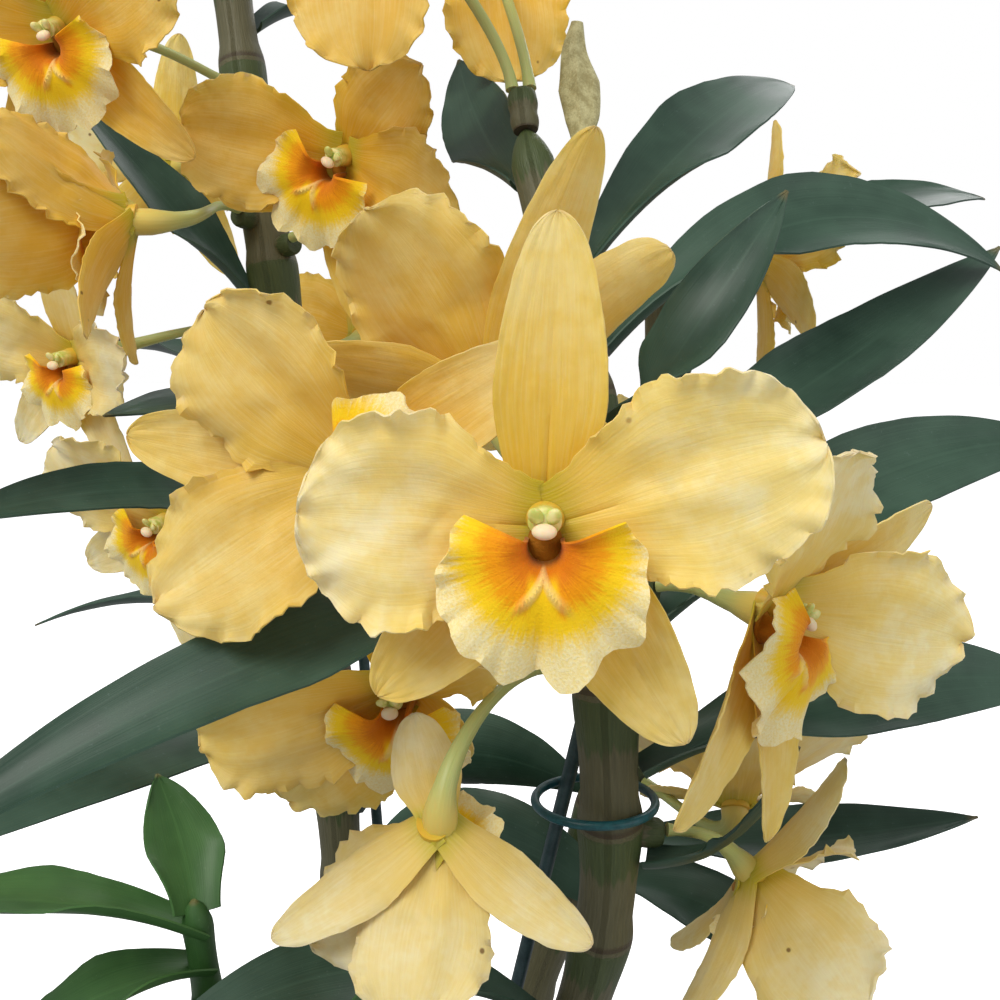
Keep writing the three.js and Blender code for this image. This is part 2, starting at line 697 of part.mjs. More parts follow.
/** One sepal, petal or lip. Its mirror twin takes the other sign of the clock angle. */
function tepal(middle, axes, form, mirror, size, phase, thickness) {
  const clock = radians(form.clock * mirror);
  const outward = axes.up.clone().multiplyScalar(Math.cos(clock));
  outward.addScaledVector(axes.right, Math.sin(clock));
  const rise = radians(form.rise);
  const along = axes.facing.clone().multiplyScalar(Math.cos(rise));
  along.addScaledVector(outward, Math.sin(rise));
  const face = axes.facing.clone().multiplyScalar(Math.sin(rise));
  face.addScaledVector(outward, -Math.cos(rise));
  const sized = { ...form, length: form.length * size, halfWidth: form.halfWidth * size };
  const places = rowPlaces(form);
  const start = middle.clone().addScaledVector(outward, form.start ?? 0.9);
  start.addScaledVector(axes.facing, form.ahead);
  return blade(bendingFrames(start, along, face, sized, places), sized, places, phase, thickness);
}

/** Column, heart, ovary and stalk in one tube, from the anther cap back to the spur. */
function stalkGeometry(middle, axes, { spur: [caneName, spurName, seat] }) {
  const { direction, end } = spurEnd(caneName, spurName);
  const outward = vec(0, -1, 1).addScaledVector(direction, direction.y - direction.z);
  outward.normalize().applyAxisAngle(direction, radians(seat));
  const foot = end.clone().addScaledVector(direction, 2 * GAP).addScaledVector(outward, STALK_SPREAD);
  const distance = middle.distanceTo(foot);
  const curve = new THREE.CubicBezierCurve3(
    middle.clone().addScaledVector(axes.facing, -3),
    middle.clone().addScaledVector(axes.facing, -0.45 * distance),
    foot.clone().addScaledVector(direction, 0.3 * distance),
    foot,
  );
  const front = (distanceAhead) => middle.clone().addScaledVector(axes.facing, distanceAhead)
    .addScaledVector(axes.up, 0.8);
  const points = [front(COLUMN_LENGTH + 1.2), front(COLUMN_LENGTH - 0.6), front(4.5)];
  const radii = [1.2, 2.1, 2.1];
  const stalkRadii = [HEART_RADIUS, 1.9, 1.4, 1.15, 1.15, 1.15];
  stalkRadii.forEach((radius, i) => {
    points.push(curve.getPoint(i / (stalkRadii.length - 1)));
    radii.push(radius);
  });
  return loft(points, radii, STALK_SIDES);
}

function bloomSolid(bloom, k) {
  const middle = vec(...bloom.at);
  const axes = bloomAxes(bloom.facing, bloom.roll);
  const make = (base, name, mirror, n, thickness) => {
    const own = bloom.own[name] ?? {};
    const form = {
      ...base,
      clock: base.clock + 4 * vary(k, n),
      rise: base.rise + (bloom.open ?? 0) + 5 * vary(k, n + 1),
      curl: base.curl + 6 * vary(k, n + 2),
      ...own,
    };
    return tepal(middle, axes, form, mirror, bloom.size ?? 1, 3 * vary(k, n + 3), thickness);
  };
  return fuse([
    stalkGeometry(middle, axes, bloom),
    make(TOP_SEPAL, 'top_sepal', 1, 0, TEPAL_THICKNESS),
    make(SIDE_SEPAL, 'side_sepal_right', 1, 4, TEPAL_THICKNESS),
    make(SIDE_SEPAL, 'side_sepal_left', -1, 8, TEPAL_THICKNESS),
    make(PETAL, 'petal_right', 1, 12, TEPAL_THICKNESS),
    make(PETAL, 'petal_left', -1, 16, TEPAL_THICKNESS),
    make(LIP, 'lip', 1, 20, LIP_THICKNESS),
  ]);
}

// ------------------------------------------------------------------ pot and bark

const potRadiusAt = (height) => lerp(POT_FOOT_RADIUS, POT_TOP_RADIUS, height / POT_HEIGHT);

function potSolid() {
  const rimStart = POT_HEIGHT - POT_RIM_HEIGHT;
  const profile = [
    [0, 0], [POT_FOOT_RADIUS, 0], [potRadiusAt(rimStart), rimStart],
    [potRadiusAt(rimStart) + POT_RIM_PROUD, rimStart], [POT_TOP_RADIUS + POT_RIM_PROUD, POT_HEIGHT],
    [POT_TOP_RADIUS - POT_WALL, POT_HEIGHT], [POT_FOOT_RADIUS - POT_WALL, POT_WALL], [0, POT_WALL],
  ].map(([radius, height]) => new THREE.Vector2(radius, height));
  const shell = new THREE.LatheGeometry(profile, POT_SIDES);
  shell.rotateX(Math.PI / 2);
  const holes = Array.from({ length: DRAIN_HOLES }, (_, i) => {
    const turn = (2 * Math.PI * i) / DRAIN_HOLES;
    const [x, y] = [DRAIN_RING_RADIUS * Math.cos(turn), DRAIN_RING_RADIUS * Math.sin(turn)];
    return post(x, y, -1, POT_WALL + 1, DRAIN_HOLE_RADIUS, 12);
  });
  return cutAway(shell, holes);
}

/** One chip of bark, half sunk in the bark's top. */
function barkChip(random) {
  const reach = (potRadiusAt(BARK_TOP) - POT_WALL - BARK_CHIP_LENGTH * 0.62) * Math.sqrt(random());
  const turn = 2 * Math.PI * random();
  const long = BARK_CHIP_LENGTH * lerp(0.7, 1.1, random());
  const chip = new THREE.BoxGeometry(long, long * lerp(0.5, 0.8, random()), 7);
  chip.rotateX(radians(lerp(-22, 22, random())));
  chip.rotateY(radians(lerp(-22, 22, random())));
  chip.rotateZ(2 * Math.PI * random());
  chip.translate(reach * Math.cos(turn), reach * Math.sin(turn), BARK_TOP - 0.5);
  return chip;
}

function barkSolid() {
  const random = randomFrom(BARK_SEED);
  const clear = POT_WALL + GAP;
  const body = new THREE.CylinderGeometry(
    potRadiusAt(BARK_TOP) - clear - 0.3, potRadiusAt(clear) - clear - 0.3, BARK_TOP - clear, POT_SIDES,
  );
  body.rotateX(Math.PI / 2);
  body.translate(0, 0, (BARK_TOP + clear) / 2);
  const chips = Array.from({ length: BARK_CHIPS }, () => barkChip(random));
  const stems = Object.values(CANES).map(({ axis, scale }) => [axis[0], scale]);
  stems.push([SHOOT_AXIS[0], SHOOT_SCALE]);
  const holes = stems.map(([[x, y], scale]) => {
    const radius = CANE_RADIUS * scale + CANE_JOINT_PROUD + GAP;
    return post(x, y, CANE_FOOT - GAP, BARK_TOP + 20, radius, 16);
  });
  const stickHoles = Object.values(STICKS).map((stick) => stickGeometry(stick, STICK_RADIUS + GAP));
  return cutAway(fuse([body, ...chips]), [...holes, ...stickHoles]);
}

// ------------------------------------------------------------------ the whole plant

const COLOURS = {
  pot: ['#2c2e30', 0.55],
  bark: ['#5a3d28', 0.9],
  cane: ['#6f7a3a', 0.55],
  stick: ['#2b3a3c', 0.5],
  clip: ['#17484f', 0.4],
  bud: ['#b9b07a', 0.8],
  leaf: ['#2f5a3c', 0.45],
  bloom: ['#edd28c', 0.6],
};

const plant = new THREE.Group();

function place(name, geometry, [colour, roughness]) {
  const material = new THREE.MeshStandardMaterial({ color: colour, roughness, metalness: 0 });
  const mesh = new THREE.Mesh(geometry, material);
  mesh.name = name;
  plant.add(mesh);
}

place('pot', potSolid(), COLOURS.pot);
place('bark', barkSolid(), COLOURS.bark);
Object.keys(CANES).forEach((name) => place(name, caneSolid(name), COLOURS.cane));
Object.entries(STICKS).forEach(([name, stick]) => {
  place(`stick_${name}`, stickGeometry(stick, STICK_RADIUS), COLOURS.stick);
  place(`clip_${name}`, clipSolid(stick), COLOURS.clip);
});
place('withered_bud', budSolid(), COLOURS.bud);
place('young_growth', shootSolid(), COLOURS.leaf);
Object.entries(LEAVES).forEach(([name, leaf]) => place(name, leafSolid(leaf), COLOURS.leaf));
Object.entries(BLOOMS).forEach(([name, bloom], k) => place(name, bloomSolid(bloom, k), COLOURS.bloom));

export default plant;
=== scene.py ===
"""Looks of the potted dendrobium: fine blooms, leaves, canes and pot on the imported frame.

Lengths are millimetres, as in the part's own source; meshes, light and camera are in metres.
Angles are degrees.
"""
import math

import bmesh
import bpy
import numpy as np
from mathutils import Euler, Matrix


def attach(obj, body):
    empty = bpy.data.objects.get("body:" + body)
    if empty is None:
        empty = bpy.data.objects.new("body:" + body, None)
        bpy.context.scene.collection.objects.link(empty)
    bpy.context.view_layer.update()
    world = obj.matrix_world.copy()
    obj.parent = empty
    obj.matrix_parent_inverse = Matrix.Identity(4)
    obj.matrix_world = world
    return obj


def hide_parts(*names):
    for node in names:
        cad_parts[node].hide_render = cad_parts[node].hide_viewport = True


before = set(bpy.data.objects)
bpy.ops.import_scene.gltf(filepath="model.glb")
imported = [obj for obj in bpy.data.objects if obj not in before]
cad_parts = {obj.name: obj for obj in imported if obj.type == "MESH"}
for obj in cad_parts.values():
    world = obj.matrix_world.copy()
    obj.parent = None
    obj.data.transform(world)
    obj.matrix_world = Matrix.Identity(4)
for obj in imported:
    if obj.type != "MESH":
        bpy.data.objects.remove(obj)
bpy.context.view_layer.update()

MM = 0.001
SEAM_ANGLE = 40  # faces that meet at more than this keep a sharp edge between them

# ---------- sizes, as in the solids

GAP = 0.3
POT_HEIGHT = 108
POT_FOOT_RADIUS = 45
POT_TOP_RADIUS = 61
POT_WALL = 2
POT_RIM_HEIGHT = 11
POT_RIM_PROUD = 2.4
DRAIN_HOLES = 4
DRAIN_HOLE_RADIUS = 4
DRAIN_RING_RADIUS = 27
BARK_TOP = 97
CANE_RADIUS = 5.6
CANE_JOINT_PROUD = 0.9
JOINT_SPACING = 27
JOINT_FALL = 0.22  # share of a joint's length over which its swelling falls off
CANE_FOOT = 70
SPUR_RADIUS = 3.1
SPUR_LENGTH = 5.5
STALK_SPREAD = 1.75
LEAF_THICKNESS = 0.9
LEAF_CLASP_HALF_WIDTH = 5.2
LEAF_CLEARANCE = 1
SHOOT_LEAF_SUNK = 3
STICK_RADIUS = 1.5
CLIP_WIRE_RADIUS = 0.9
COLUMN_LENGTH = 8.5
SHOOT_SCALE = 0.62

# Blades. clock is the way a blade points round the heart, from straight up. rise is its lean from
# straight ahead, curl how much it bends back and cup how much it hollows. peak is the share of the
# length where it is widest, tip_power and tip_root shape its end, and wave is its margin's height.
TOP_SEPAL = dict(clock=0, length=40, half=7.6, peak=0.42, tip_power=2.6, tip_root=1.8,
                 rise=68, curl=24, cup=0.35, wave=0.4, waves=2, ahead=-1)
PETAL = dict(clock=76, length=37, half=14.4, peak=0.54, tip_power=2.4, tip_root=2,
             rise=64, curl=20, cup=0.3, wave=1.7, waves=5, ahead=0.8)
SIDE_SEPAL = dict(clock=143, length=38, half=7.6, peak=0.4, tip_power=2.5, tip_root=1.7,
                  rise=72, curl=34, cup=0.4, wave=0.4, waves=2, ahead=-1)
LEAF_FORM = dict(peak=0.45, tip_power=1.9, tip_root=1.15, cup=0.5, base_cup=1.0, wave=0.7, waves=3,
                 taper=0, frill=0.1)

# A blade that waves more than PETAL_WAVE is made as a petal, any other as a sepal. base is the
# share of the half width at its foot, taper how much narrower it gets by its tip.
PETAL_WAVE = 1
PETAL_MAKE = dict(base=0.42, taper=0, frill=1.0)
SEPAL_MAKE = dict(base=0.6, taper=0.32, frill=0.15, tip_power=5.0)

# Canes: thickness against CANE_RADIUS, middle line, and the short flower shoots, each with its
# height on the cane and the way it points.
CANES = {
    "front": dict(
        scale=1.0,
        axis=[(17, -14, CANE_FOOT), (17, -14, 102), (31, -26, 150), (43, -41, 205),
              (42, -50, 255), (40, -41, 298), (34, -33, 330), (27, -23, 362)],
        spurs=dict(front=(286, (-0.25, -0.97, 0.1)), left=(262, (-0.95, -0.35, 0)),
                   right=(274, (0.9, -0.4, 0.1)), low=(226, (0.95, 0.1, -0.1)),
                   top=(361, (-0.1, 0.3, 0.95)))),
    "left": dict(
        scale=1.08,
        axis=[(-14, 15, CANE_FOOT), (-14, 15, 102), (-19, 28, 160), (-25, 40, 230),
              (-33, 47, 300), (-42, 54, 360), (-50, 62, 415), (-54, 66, 448)],
        spurs=dict(low=(285, (-0.85, -0.5, 0)), mid=(322, (-0.7, -0.7, 0.1)),
                   high=(352, (-0.5, -0.85, 0.1)), right=(345, (0.75, -0.65, 0.1)),
                   crown=(384, (-0.5, -0.8, 0.2)), back=(315, (0.25, 0.95, 0.1)),
                   back_high=(372, (-0.5, 0.85, 0.1)))),
    "right": dict(
        scale=0.95,
        axis=[(18, 20, CANE_FOOT), (18, 20, 102), (30, 18, 150), (47, 14, 205), (57, 13, 250),
              (61, 15, 300), (60, 19, 343)],
        spurs=dict(mid=(322, (0.8, 0.55, 0.1)), low=(216, (0.6, -0.78, 0)),
                   back=(285, (0.2, 0.97, 0.1)))),
}

# Support sticks, each named after its cane, and the height of the clip that ties it.
STICKS = {
    "front": dict(foot=(4, -2, CANE_FOOT), top=(39, -40.4, 249), clip=231),
    "left": dict(foot=(-2, 22, CANE_FOOT), top=(-18.4, 54.7, 258), clip=250),
}

BUD_AXIS = [(33.7, -24, 352), (37.5, -24, 357), (38.5, -22, 364), (38, -19, 371),
            (37, -17.5, 378), (37.5, -17.5, 384)]
BUD_RADII = [1.1, 1.2, 3.2, 3.9, 2.6, 1.2]


def bloom(at, facing, roll, spur, **more):
    return dict(at=at, facing=facing, roll=roll, spur=spur, **more)


# Blooms: place of the heart, facing to the right and up, roll, and the spur: its cane, its name
# and the side of it where the stalk stands. Some have a size, a tint, own numbers for single
# blades and, where they are half closed, what is added to the rise of every blade. The tint paints
# light and shade as well as tone: cream for blooms in full light, plain, deep and pale for blooms
# in shade.
BLOOMS = {
    "bloom_01": bloom((28, -106, 296), (-3, 3), 1, ("front", "front", 230), tint="lit_cream",
        top_sepal=dict(length=40, clock=1, rise=80, curl=8),
        petal_right=dict(length=36.5, clock=71, rise=76, curl=12, half=14),
        petal_left=dict(length=31.5, clock=87, rise=72, curl=16, half=14.6),
        side_sepal_left=dict(clock=137, length=32, rise=84, curl=22),
        side_sepal_right=dict(clock=146, length=34.5, rise=84, curl=18)),
    "bloom_02": bloom((1, -82, 300), (-26, 4), -82, ("front", "front", 110),
        petal_left=dict(clock=46, rise=62, half=13, length=36),
        petal_right=dict(clock=40, rise=62, half=13.4, length=34)),
    "bloom_03": bloom((21, -67, 309.5), (180, 42), -10, ("front", "front", 350),
        top_sepal=dict(clock=-8, length=48, half=6.4), petal_right=dict(clock=45, length=37),
        side_sepal_right=dict(clock=88), petal_left=dict(clock=42, half=9, cup=0.8, wave=0.6),
        side_sepal_left=dict(clock=110, length=27, rise=95, curl=-10)),
    "bloom_04": bloom((-13, 7, 361), (-22, -12), 38, ("left", "right", 0), tint="shaded_deep",
        top_sepal=dict(clock=16, length=31, half=12, wave=1.4), petal_left=dict(clock=112),
        side_sepal_left=dict(clock=138, length=33)),
    "bloom_05": bloom((-4, -33, 408), (-5, -14), 102, ("front", "top", -90), tint="shaded_deep"),
    "bloom_06": bloom((20, 17, 416), (10, -12), 98, ("front", "top", 90), tint="shaded_deep"),
    "bloom_07": bloom((-73, 1, 387), (-10, -20), -10, ("left", "crown", 0), tint="shaded_deep"),
    "bloom_08": bloom((-58.5, -2.5, 346.5), (-84, 2), -8, ("left", "high", 0), tint="shaded_deep",
        top_sepal=dict(clock=58, rise=40, half=11.5, length=35, wave=1.4),
        petal_right=dict(clock=118, rise=34, curl=6), side_sepal_right=dict(length=35),
        side_sepal_left=dict(length=35)),
    "bloom_09": bloom((-85, 31, 316), (-25, -10), 10, ("left", "mid", 0), size=0.82, tint="pale"),
    "bloom_10": bloom((-60, 21, 276), (-30, -10), 28, ("left", "low", 0), size=0.9, tint="pale",
        top_sepal=dict(clock=-10, length=33, rise=78)),
    "bloom_11": bloom((3.5, -53, 257.5), (-10, -24), -4, ("front", "left", 0),
        top_sepal=dict(rise=96, curl=30, length=34), petal_left=dict(clock=94),
        side_sepal_left=dict(clock=136, half=13, length=42, wave=1.6),
        side_sepal_right=dict(clock=156, length=21, curl=60),
        petal_right=dict(clock=54, half=8.5, length=30, rise=74)),
    "bloom_12": bloom((12, -77, 241), (180, -58), 117, ("front", "left", 180), size=0.8,
        tint="pale", half_closed=-8,
        petal_left=dict(clock=4, rise=46), petal_right=dict(clock=53),
        side_sepal_right=dict(clock=119),
        side_sepal_left=dict(clock=100, length=22, rise=112, curl=30)),
    "bloom_13": bloom((65, -76, 277), (48, -6), 34, ("front", "right", 0), tint="lit_cream",
        top_sepal=dict(clock=36, length=44, half=6), petal_left=dict(clock=40, length=30),
        petal_right=dict(clock=66, rise=52), side_sepal_left=dict(clock=172)),
    "bloom_14": bloom((73, -38, 213), (80, -52), 0, ("front", "low", 0), size=0.95, tint="pale",
        half_closed=-10, top_sepal=dict(rise=98, half=10, length=32)),
    "bloom_15": bloom((90, 46, 342), (95, 0), 18, ("right", "mid", 0), size=0.95),
    "bloom_16": bloom((73.5, -20.4, 220), (170, 50), 0, ("right", "low", 180), size=0.92,
        tint="pale", half_closed=-10),
    "bloom_17": bloom((-20, 92, 322), (168, 10), 4, ("left", "back", 0), tint="shaded_deep"),
    "bloom_18": bloom((-76, 98, 374), (-145, 6), -6, ("left", "back_high", 0), tint="lit_cream"),
    "bloom_19": bloom((66, 56, 288), (160, -8), 0, ("right", "back", 0), size=0.95, tint="pale"),
}

# Leaves, leaf_01 first: cane, height on it, the point that the blade rises towards, tip, half
# width, lean of the blade, and how much more than LEAF_CLEARANCE it stands off its cane.
LEAVES = [
    ("front", 334, (68, -2, 374), (95, 35, 384), 11, 30, 0.3),
    ("front", 318, (82, -22, 362), (132, -6, 336), 11, 50, 0.3),
    ("front", 300, (50, -70, 316), (72, -52, 346), 8, 45, 0),
    ("front", 292, (84, -26, 308), (134, 2, 342), 11, 30, -0.3),
    ("right", 332, (104, -4, 355), (139, 24, 355), 10, 25, -0.4),
    ("front", 264, (90, -40, 304), (138, -26, 300), 10.5, 50, 0.3),
    ("front", 238, (92, -44, 262), (142, -24, 248), 10.5, 50, 0),
    ("right", 196, (88, 4, 198), (136, 0, 208), 9, 30, -0.1),
    ("left", 275, (-52, -8, 295), (-84, -48, 286), 8, -40, 0),
    ("left", 303, (-45, 10, 308), (-60, -22, 305), 6.5, -20, -0.6),
    ("front", 276, (-10, -90, 283), (-66, -104, 246), 8.5, -40, -0.6),
    ("left", 220, (-50, -20, 243), (-86, -60, 226), 11, -40, 0),
    ("front", 350, (17, 5, 364), (12, 29, 388), 9.5, -50, 0),
    ("left", 332, (-62, 52, 352), (-90, 46, 386), 10, -40, 0.3),
    ("left", 296, (-70, 84, 330), (-118, 96, 314), 11, 0, 0),
    ("left", 266, (0, 90, 300), (18, 134, 286), 11, 0, 0),
    ("left", 404, (-30, 88, 424), (-14, 124, 416), 10, 0, 0),
    ("right", 306, (76, 66, 336), (88, 118, 322), 11, 0, 0),
    ("right", 270, (100, 44, 300), (146, 62, 284), 10.5, 0, 0),
    ("right", 226, (40, 62, 250), (30, 116, 236), 10.5, 0, 0),
    ("left", 236, (-66, 58, 258), (-112, 60, 240), 10, 0, 0),
    ("front", 219, (68, -51, 220), (76, -60, 248), 3, -20, 0),
    ("front", 178, (-4, -52, 217), (-44, -74, 192), 9, -30, 0),
    ("left", 196, (4, 22, 229), (46, 22, 205), 12, -80, 0.3),
    ("left", 178, (14, 4, 220), (54, 0, 180), 12, -80, 0),
    ("right", 184, (72, 4, 192), (96, -22, 176), 9, 30, 0),
]

# The young growth: its middle line, and its leaves' height on it, rising point, tip, half width.
SHOOT_AXIS = [(-18, -20, CANE_FOOT), (-18, -20, 102), (-24, -32, 140), (-34, -46, 180),
              (-37, -51, 214)]
SHOOT_LEAVES = [
    (206, (-62, -62, 226), (-98, -78, 222), 9),
    (198, (-52, -62, 206), (-74, -72, 188), 9),
    (211, (-40, -44, 222), (-48, -36, 233), 8),
    (190, (-30, -62, 196), (-14, -70, 184), 8),
    (168, (-14, -64, 178), (4, -78, 218), 9),
]

# ---------- sizes of the looks alone

# The lip: how far it reaches from the middle of its throat at angles (radians) from straight down,
# the throat's radius and drop below the column, how the blade turns out of the throat, its waves,
# the fold down its middle and the raised chevron at its heart.
LIP = dict(angles=[0, 0.13, 0.27, 0.52, 0.8, 1.15, 1.5, 1.95],
           reaches=[15.4, 17.6, 18.4, 15.9, 16.6, 14.8, 12.8, 11.0],
           throat=2.5, drop=2.3, length=24.0, open=112.0, bend=97.0, bend_from=0.16, bend_to=0.55,
           wave=1.3, waves=7, ruffle=0.4, fold=1.2, fold_width=0.2, thickness=0.56,
           crest=0.7, crest_foot=3.0, crest_slope=11.0, crest_width=0.9, crest_end=0.5)
HALF_CLOSED_LIP = 0.68  # share of its size that the lip of a half closed bloom has

# Ripples round a blade: each wave's height, its waves in a radian and its turns of the phase.
SCALLOPS = ((1.0, 27, 3), (0.6, 41, 7))
LOBES = ((1.0, 7, 4),)
RUFFLES = ((1.0, 19, 5), (0.7, 31, 2))
LIP_LOBES = ((0.03, 9, 2), (0.02, 17, 1))
LIP_RUFFLES = ((1.0, 23, 3), (0.7, 37, 1))

SCALLOP_DEPTH, LOBE_DEPTH = 0.022, 0.035  # shares of the half width
RUFFLE_HEIGHT, PLEAT_HEIGHT, PUCKER_HEIGHT, SWELL_HEIGHT = 0.75, 0.32, 0.1, 1.0
MIDRIB_DEPTH, MIDRIB_WIDTH = 0.3, 0.05
BLADE_CENTRE = 0.45  # share of the length round which a margin's ripples are counted
BLUNT_TIP = 0.03  # share of the half width that is left at a tip
TEPAL_THICKNESS = 0.6
MARGIN_THINNING = 0.55
BEND_FROM, BEND_TO = -0.6, 1.6  # shares of the length between which a curl would be complete

TEPAL_ROWS, TEPAL_COLUMNS = 34, 20
LIP_ROWS, LIP_COLUMNS = 40, 52
LEAF_ROWS, LEAF_COLUMNS = 44, 12
FRONT_DETAIL = 1.7  # how much finer the front bloom's mesh is

STALK_SHARES = [0, 0.08, 0.2, 0.4, 0.6, 0.93, 1]
STALK_RADII = [3.0, 2.9, 1.95, 1.4, 1.15, 1.15, 1.4]
GROOVE_DEPTH = 0.012
WAIST_DEPTH = 0.35

BARK_SEED = 4
CHIPS = 150
CHIP_LENGTHS, SMALL_CHIP = (9, 20), 7.0
STEM_ROOM = 10  # from a stem's middle to that of the nearest chip


# ---------- small helpers


def vec(*p):
    return np.array(p[0] if len(p) == 1 else p, dtype=float)


def unit(a):
    return a / np.linalg.norm(a)


def units(rows):
    return rows / np.linalg.norm(rows, axis=1, keepdims=True)


def smooth(x, low, high):
    x = np.clip((x - low) / (high - low), 0.0, 1.0)
    return x * x * (3 - 2 * x)


def lerp(a, b, t):
    return a + (b - a) * t


def bell(x, width):
    return np.exp(-((x / width) ** 2))


def turned(a, axis, degrees):
    """Vector a, or each row of it, turned about a unit axis by the right-hand rule."""
    angle = np.radians(degrees)
    c, s = np.cos(angle), np.sin(angle)
    a = np.asarray(a, dtype=float)
    dot = (a * axis).sum(axis=-1)
    if np.ndim(dot):
        c, s, dot = [np.broadcast_to(x, dot.shape)[..., None] for x in (c, s, dot)]
    return a * c + np.cross(axis, a) * s + axis * dot * (1 - c)


def circle(sides):
    return np.arange(sides) * 2 * math.pi / sides


def vary(k, n):
    """A small fixed variation from -1 to 1 for the nth trait of the kth bloom."""
    return math.sin(k * 12.9 + n * 4.1) * 0.5 + math.sin(k * 5.3 + n * 9.7) * 0.5


def ripple(waves, angle, phase):
    return sum(height * np.sin(rate * angle + turns * phase) for height, rate, turns in waves)


class Spline:
    """A centripetal Catmull-Rom curve through points, read by its share of the length."""

    STEPS = 60  # from one of the points to the next

    def __init__(self, points):
        p = [vec(q) for q in points]
        p = [2 * p[0] - p[1], *p, 2 * p[-1] - p[-2]]
        rows = []
        for a, b, c, d in zip(p, p[1:], p[2:], p[3:]):
            g0, g1, g2 = [np.linalg.norm(y - x) ** 0.5 for x, y in ((a, b), (b, c), (c, d))]
            t1 = ((b - a) / g0 - (c - a) / (g0 + g1) + (c - b) / g1) * g1
            t2 = ((c - b) / g1 - (d - b) / (g1 + g2) + (d - c) / g2) * g1
            u = np.linspace(0, 1, self.STEPS, endpoint=False)[:, None]
            rows.append(b + t1 * u + (-3 * b + 3 * c - 2 * t1 - t2) * u**2
                        + (2 * b - 2 * c + t1 + t2) * u**3)
        self.points = np.vstack([*rows, p[-2][None]])
        gaps = np.linalg.norm(np.diff(self.points, axis=0), axis=1)
        self.length = gaps.sum()
        self.shares = np.concatenate([[0], np.cumsum(gaps)]) / self.length
        self.knots = self.shares[::self.STEPS]

    def at(self, share):
        return np.stack([np.interp(share, self.shares, self.points[:, k]) for k in range(3)], axis=-1)

    def share_at_height(self, height):
        return float(np.interp(height, self.points[:, 2], self.shares))


def bezier(points, t):
    """A Bezier curve of any degree at the places t."""
    level = [np.broadcast_to(vec(p), (len(t), 3)) for p in points]
    while len(level) > 1:
        level = [lerp(a, b, t[:, None]) for a, b in zip(level, level[1:])]
    return level[0]


def tangents(points):
    along = np.empty_like(points)
    along[1:-1] = points[2:] - points[:-2]
    along[0] = points[1] - points[0]
    along[-1] = points[-1] - points[-2]
    return units(along)


# ---------- mesh gathering


def stand(name, data, at=(0, 0, 0), angles=(0, 0, 0)):
    """A new object of a mesh, a lamp or a camera, put into the scene."""
    obj = bpy.data.objects.new(name, data)
    obj.location, obj.rotation_euler = at, angles
    bpy.context.scene.collection.objects.link(obj)
    return obj


class Piece:
    """Gathers grids of points into one mesh, with a material and three numbers at each point."""

    def __init__(self):
        self.points, self.place, self.faces, self.kinds = [], [], [], []
        self.count = 0

    def add(self, points, faces, place, kind=0):
        points = np.asarray(points, dtype=float).reshape(-1, 3)
        self.points.append(points)
        self.place.append(np.asarray(place, dtype=float).reshape(-1, 3))
        self.faces.extend([tuple(int(i) + self.count for i in face) for face in faces])
        self.kinds.extend([kind] * len(faces))
        self.count += len(points)

    def make(self, node, materials, slot):
        """The object that takes the place of one node of the frame."""
        mesh = bpy.data.meshes.new(f"fine_{node}")
        points = np.vstack(self.points) * MM
        mesh.from_pydata(points.tolist(), [], self.faces)
        attribute = mesh.attributes.new("place", "FLOAT_VECTOR", "POINT")
        attribute.data.foreach_set("vector", np.vstack(self.place).astype(np.float32).ravel())
        for material in materials:
            mesh.materials.append(material)
        mesh.polygons.foreach_set("material_index", self.kinds)
        mesh.polygons.foreach_set("use_smooth", [True] * len(self.faces))
        mesh.set_sharp_from_angle(angle=math.radians(SEAM_ANGLE))
        mesh.update()
        obj = stand(f"fine_{node}", mesh)
        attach(obj, "root")
        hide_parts(node)
        return obj


def grid_faces(rows, columns, closed=False):
    """Quads of a grid of points, rows first. A closed grid joins its last column to its first."""
    faces = []
    for i in range(rows - 1):
        for j in range(columns if closed else columns - 1):
            k = (j + 1) % columns
            faces.append((i * columns + j, i * columns + k, (i + 1) * columns + k,
                          (i + 1) * columns + j))
    return faces


def tube_faces(rows, sides):
    """Faces of a tube whose two end points follow its rings in the list of points."""
    count, last = rows * sides, (rows - 1) * sides
    faces = grid_faces(rows, sides, closed=True)
    faces += [(count, (j + 1) % sides, j) for j in range(sides)]
    faces += [(count + 1, last + j, last + (j + 1) % sides) for j in range(sides)]
    return faces


def sheet(piece, middle, normal, half_thickness, place, kind):
    """A closed thin sheet on a grid of points, with its own thickness at each."""
    rows, columns = middle.shape[:2]
    count = rows * columns
    offset = normal * half_thickness[..., None]
    front = [face[::-1] for face in grid_faces(rows, columns)]
    back = [tuple(i + count for i in face[::-1]) for face in front]
    border = [*range(columns - 1)]
    border += [i * columns + columns - 1 for i in range(rows - 1)]
    border += [(rows - 1) * columns + j for j in range(columns - 1, 0, -1)]
    border += [i * columns for i in range(rows - 1, 0, -1)]
    edge = [(q, p, p + count, q + count) for p, q in zip(border, border[1:] + border[:1])]
    points = np.stack([middle + offset, middle - offset])
    piece.add(points, front + back + edge, np.stack([place, place]), kind)


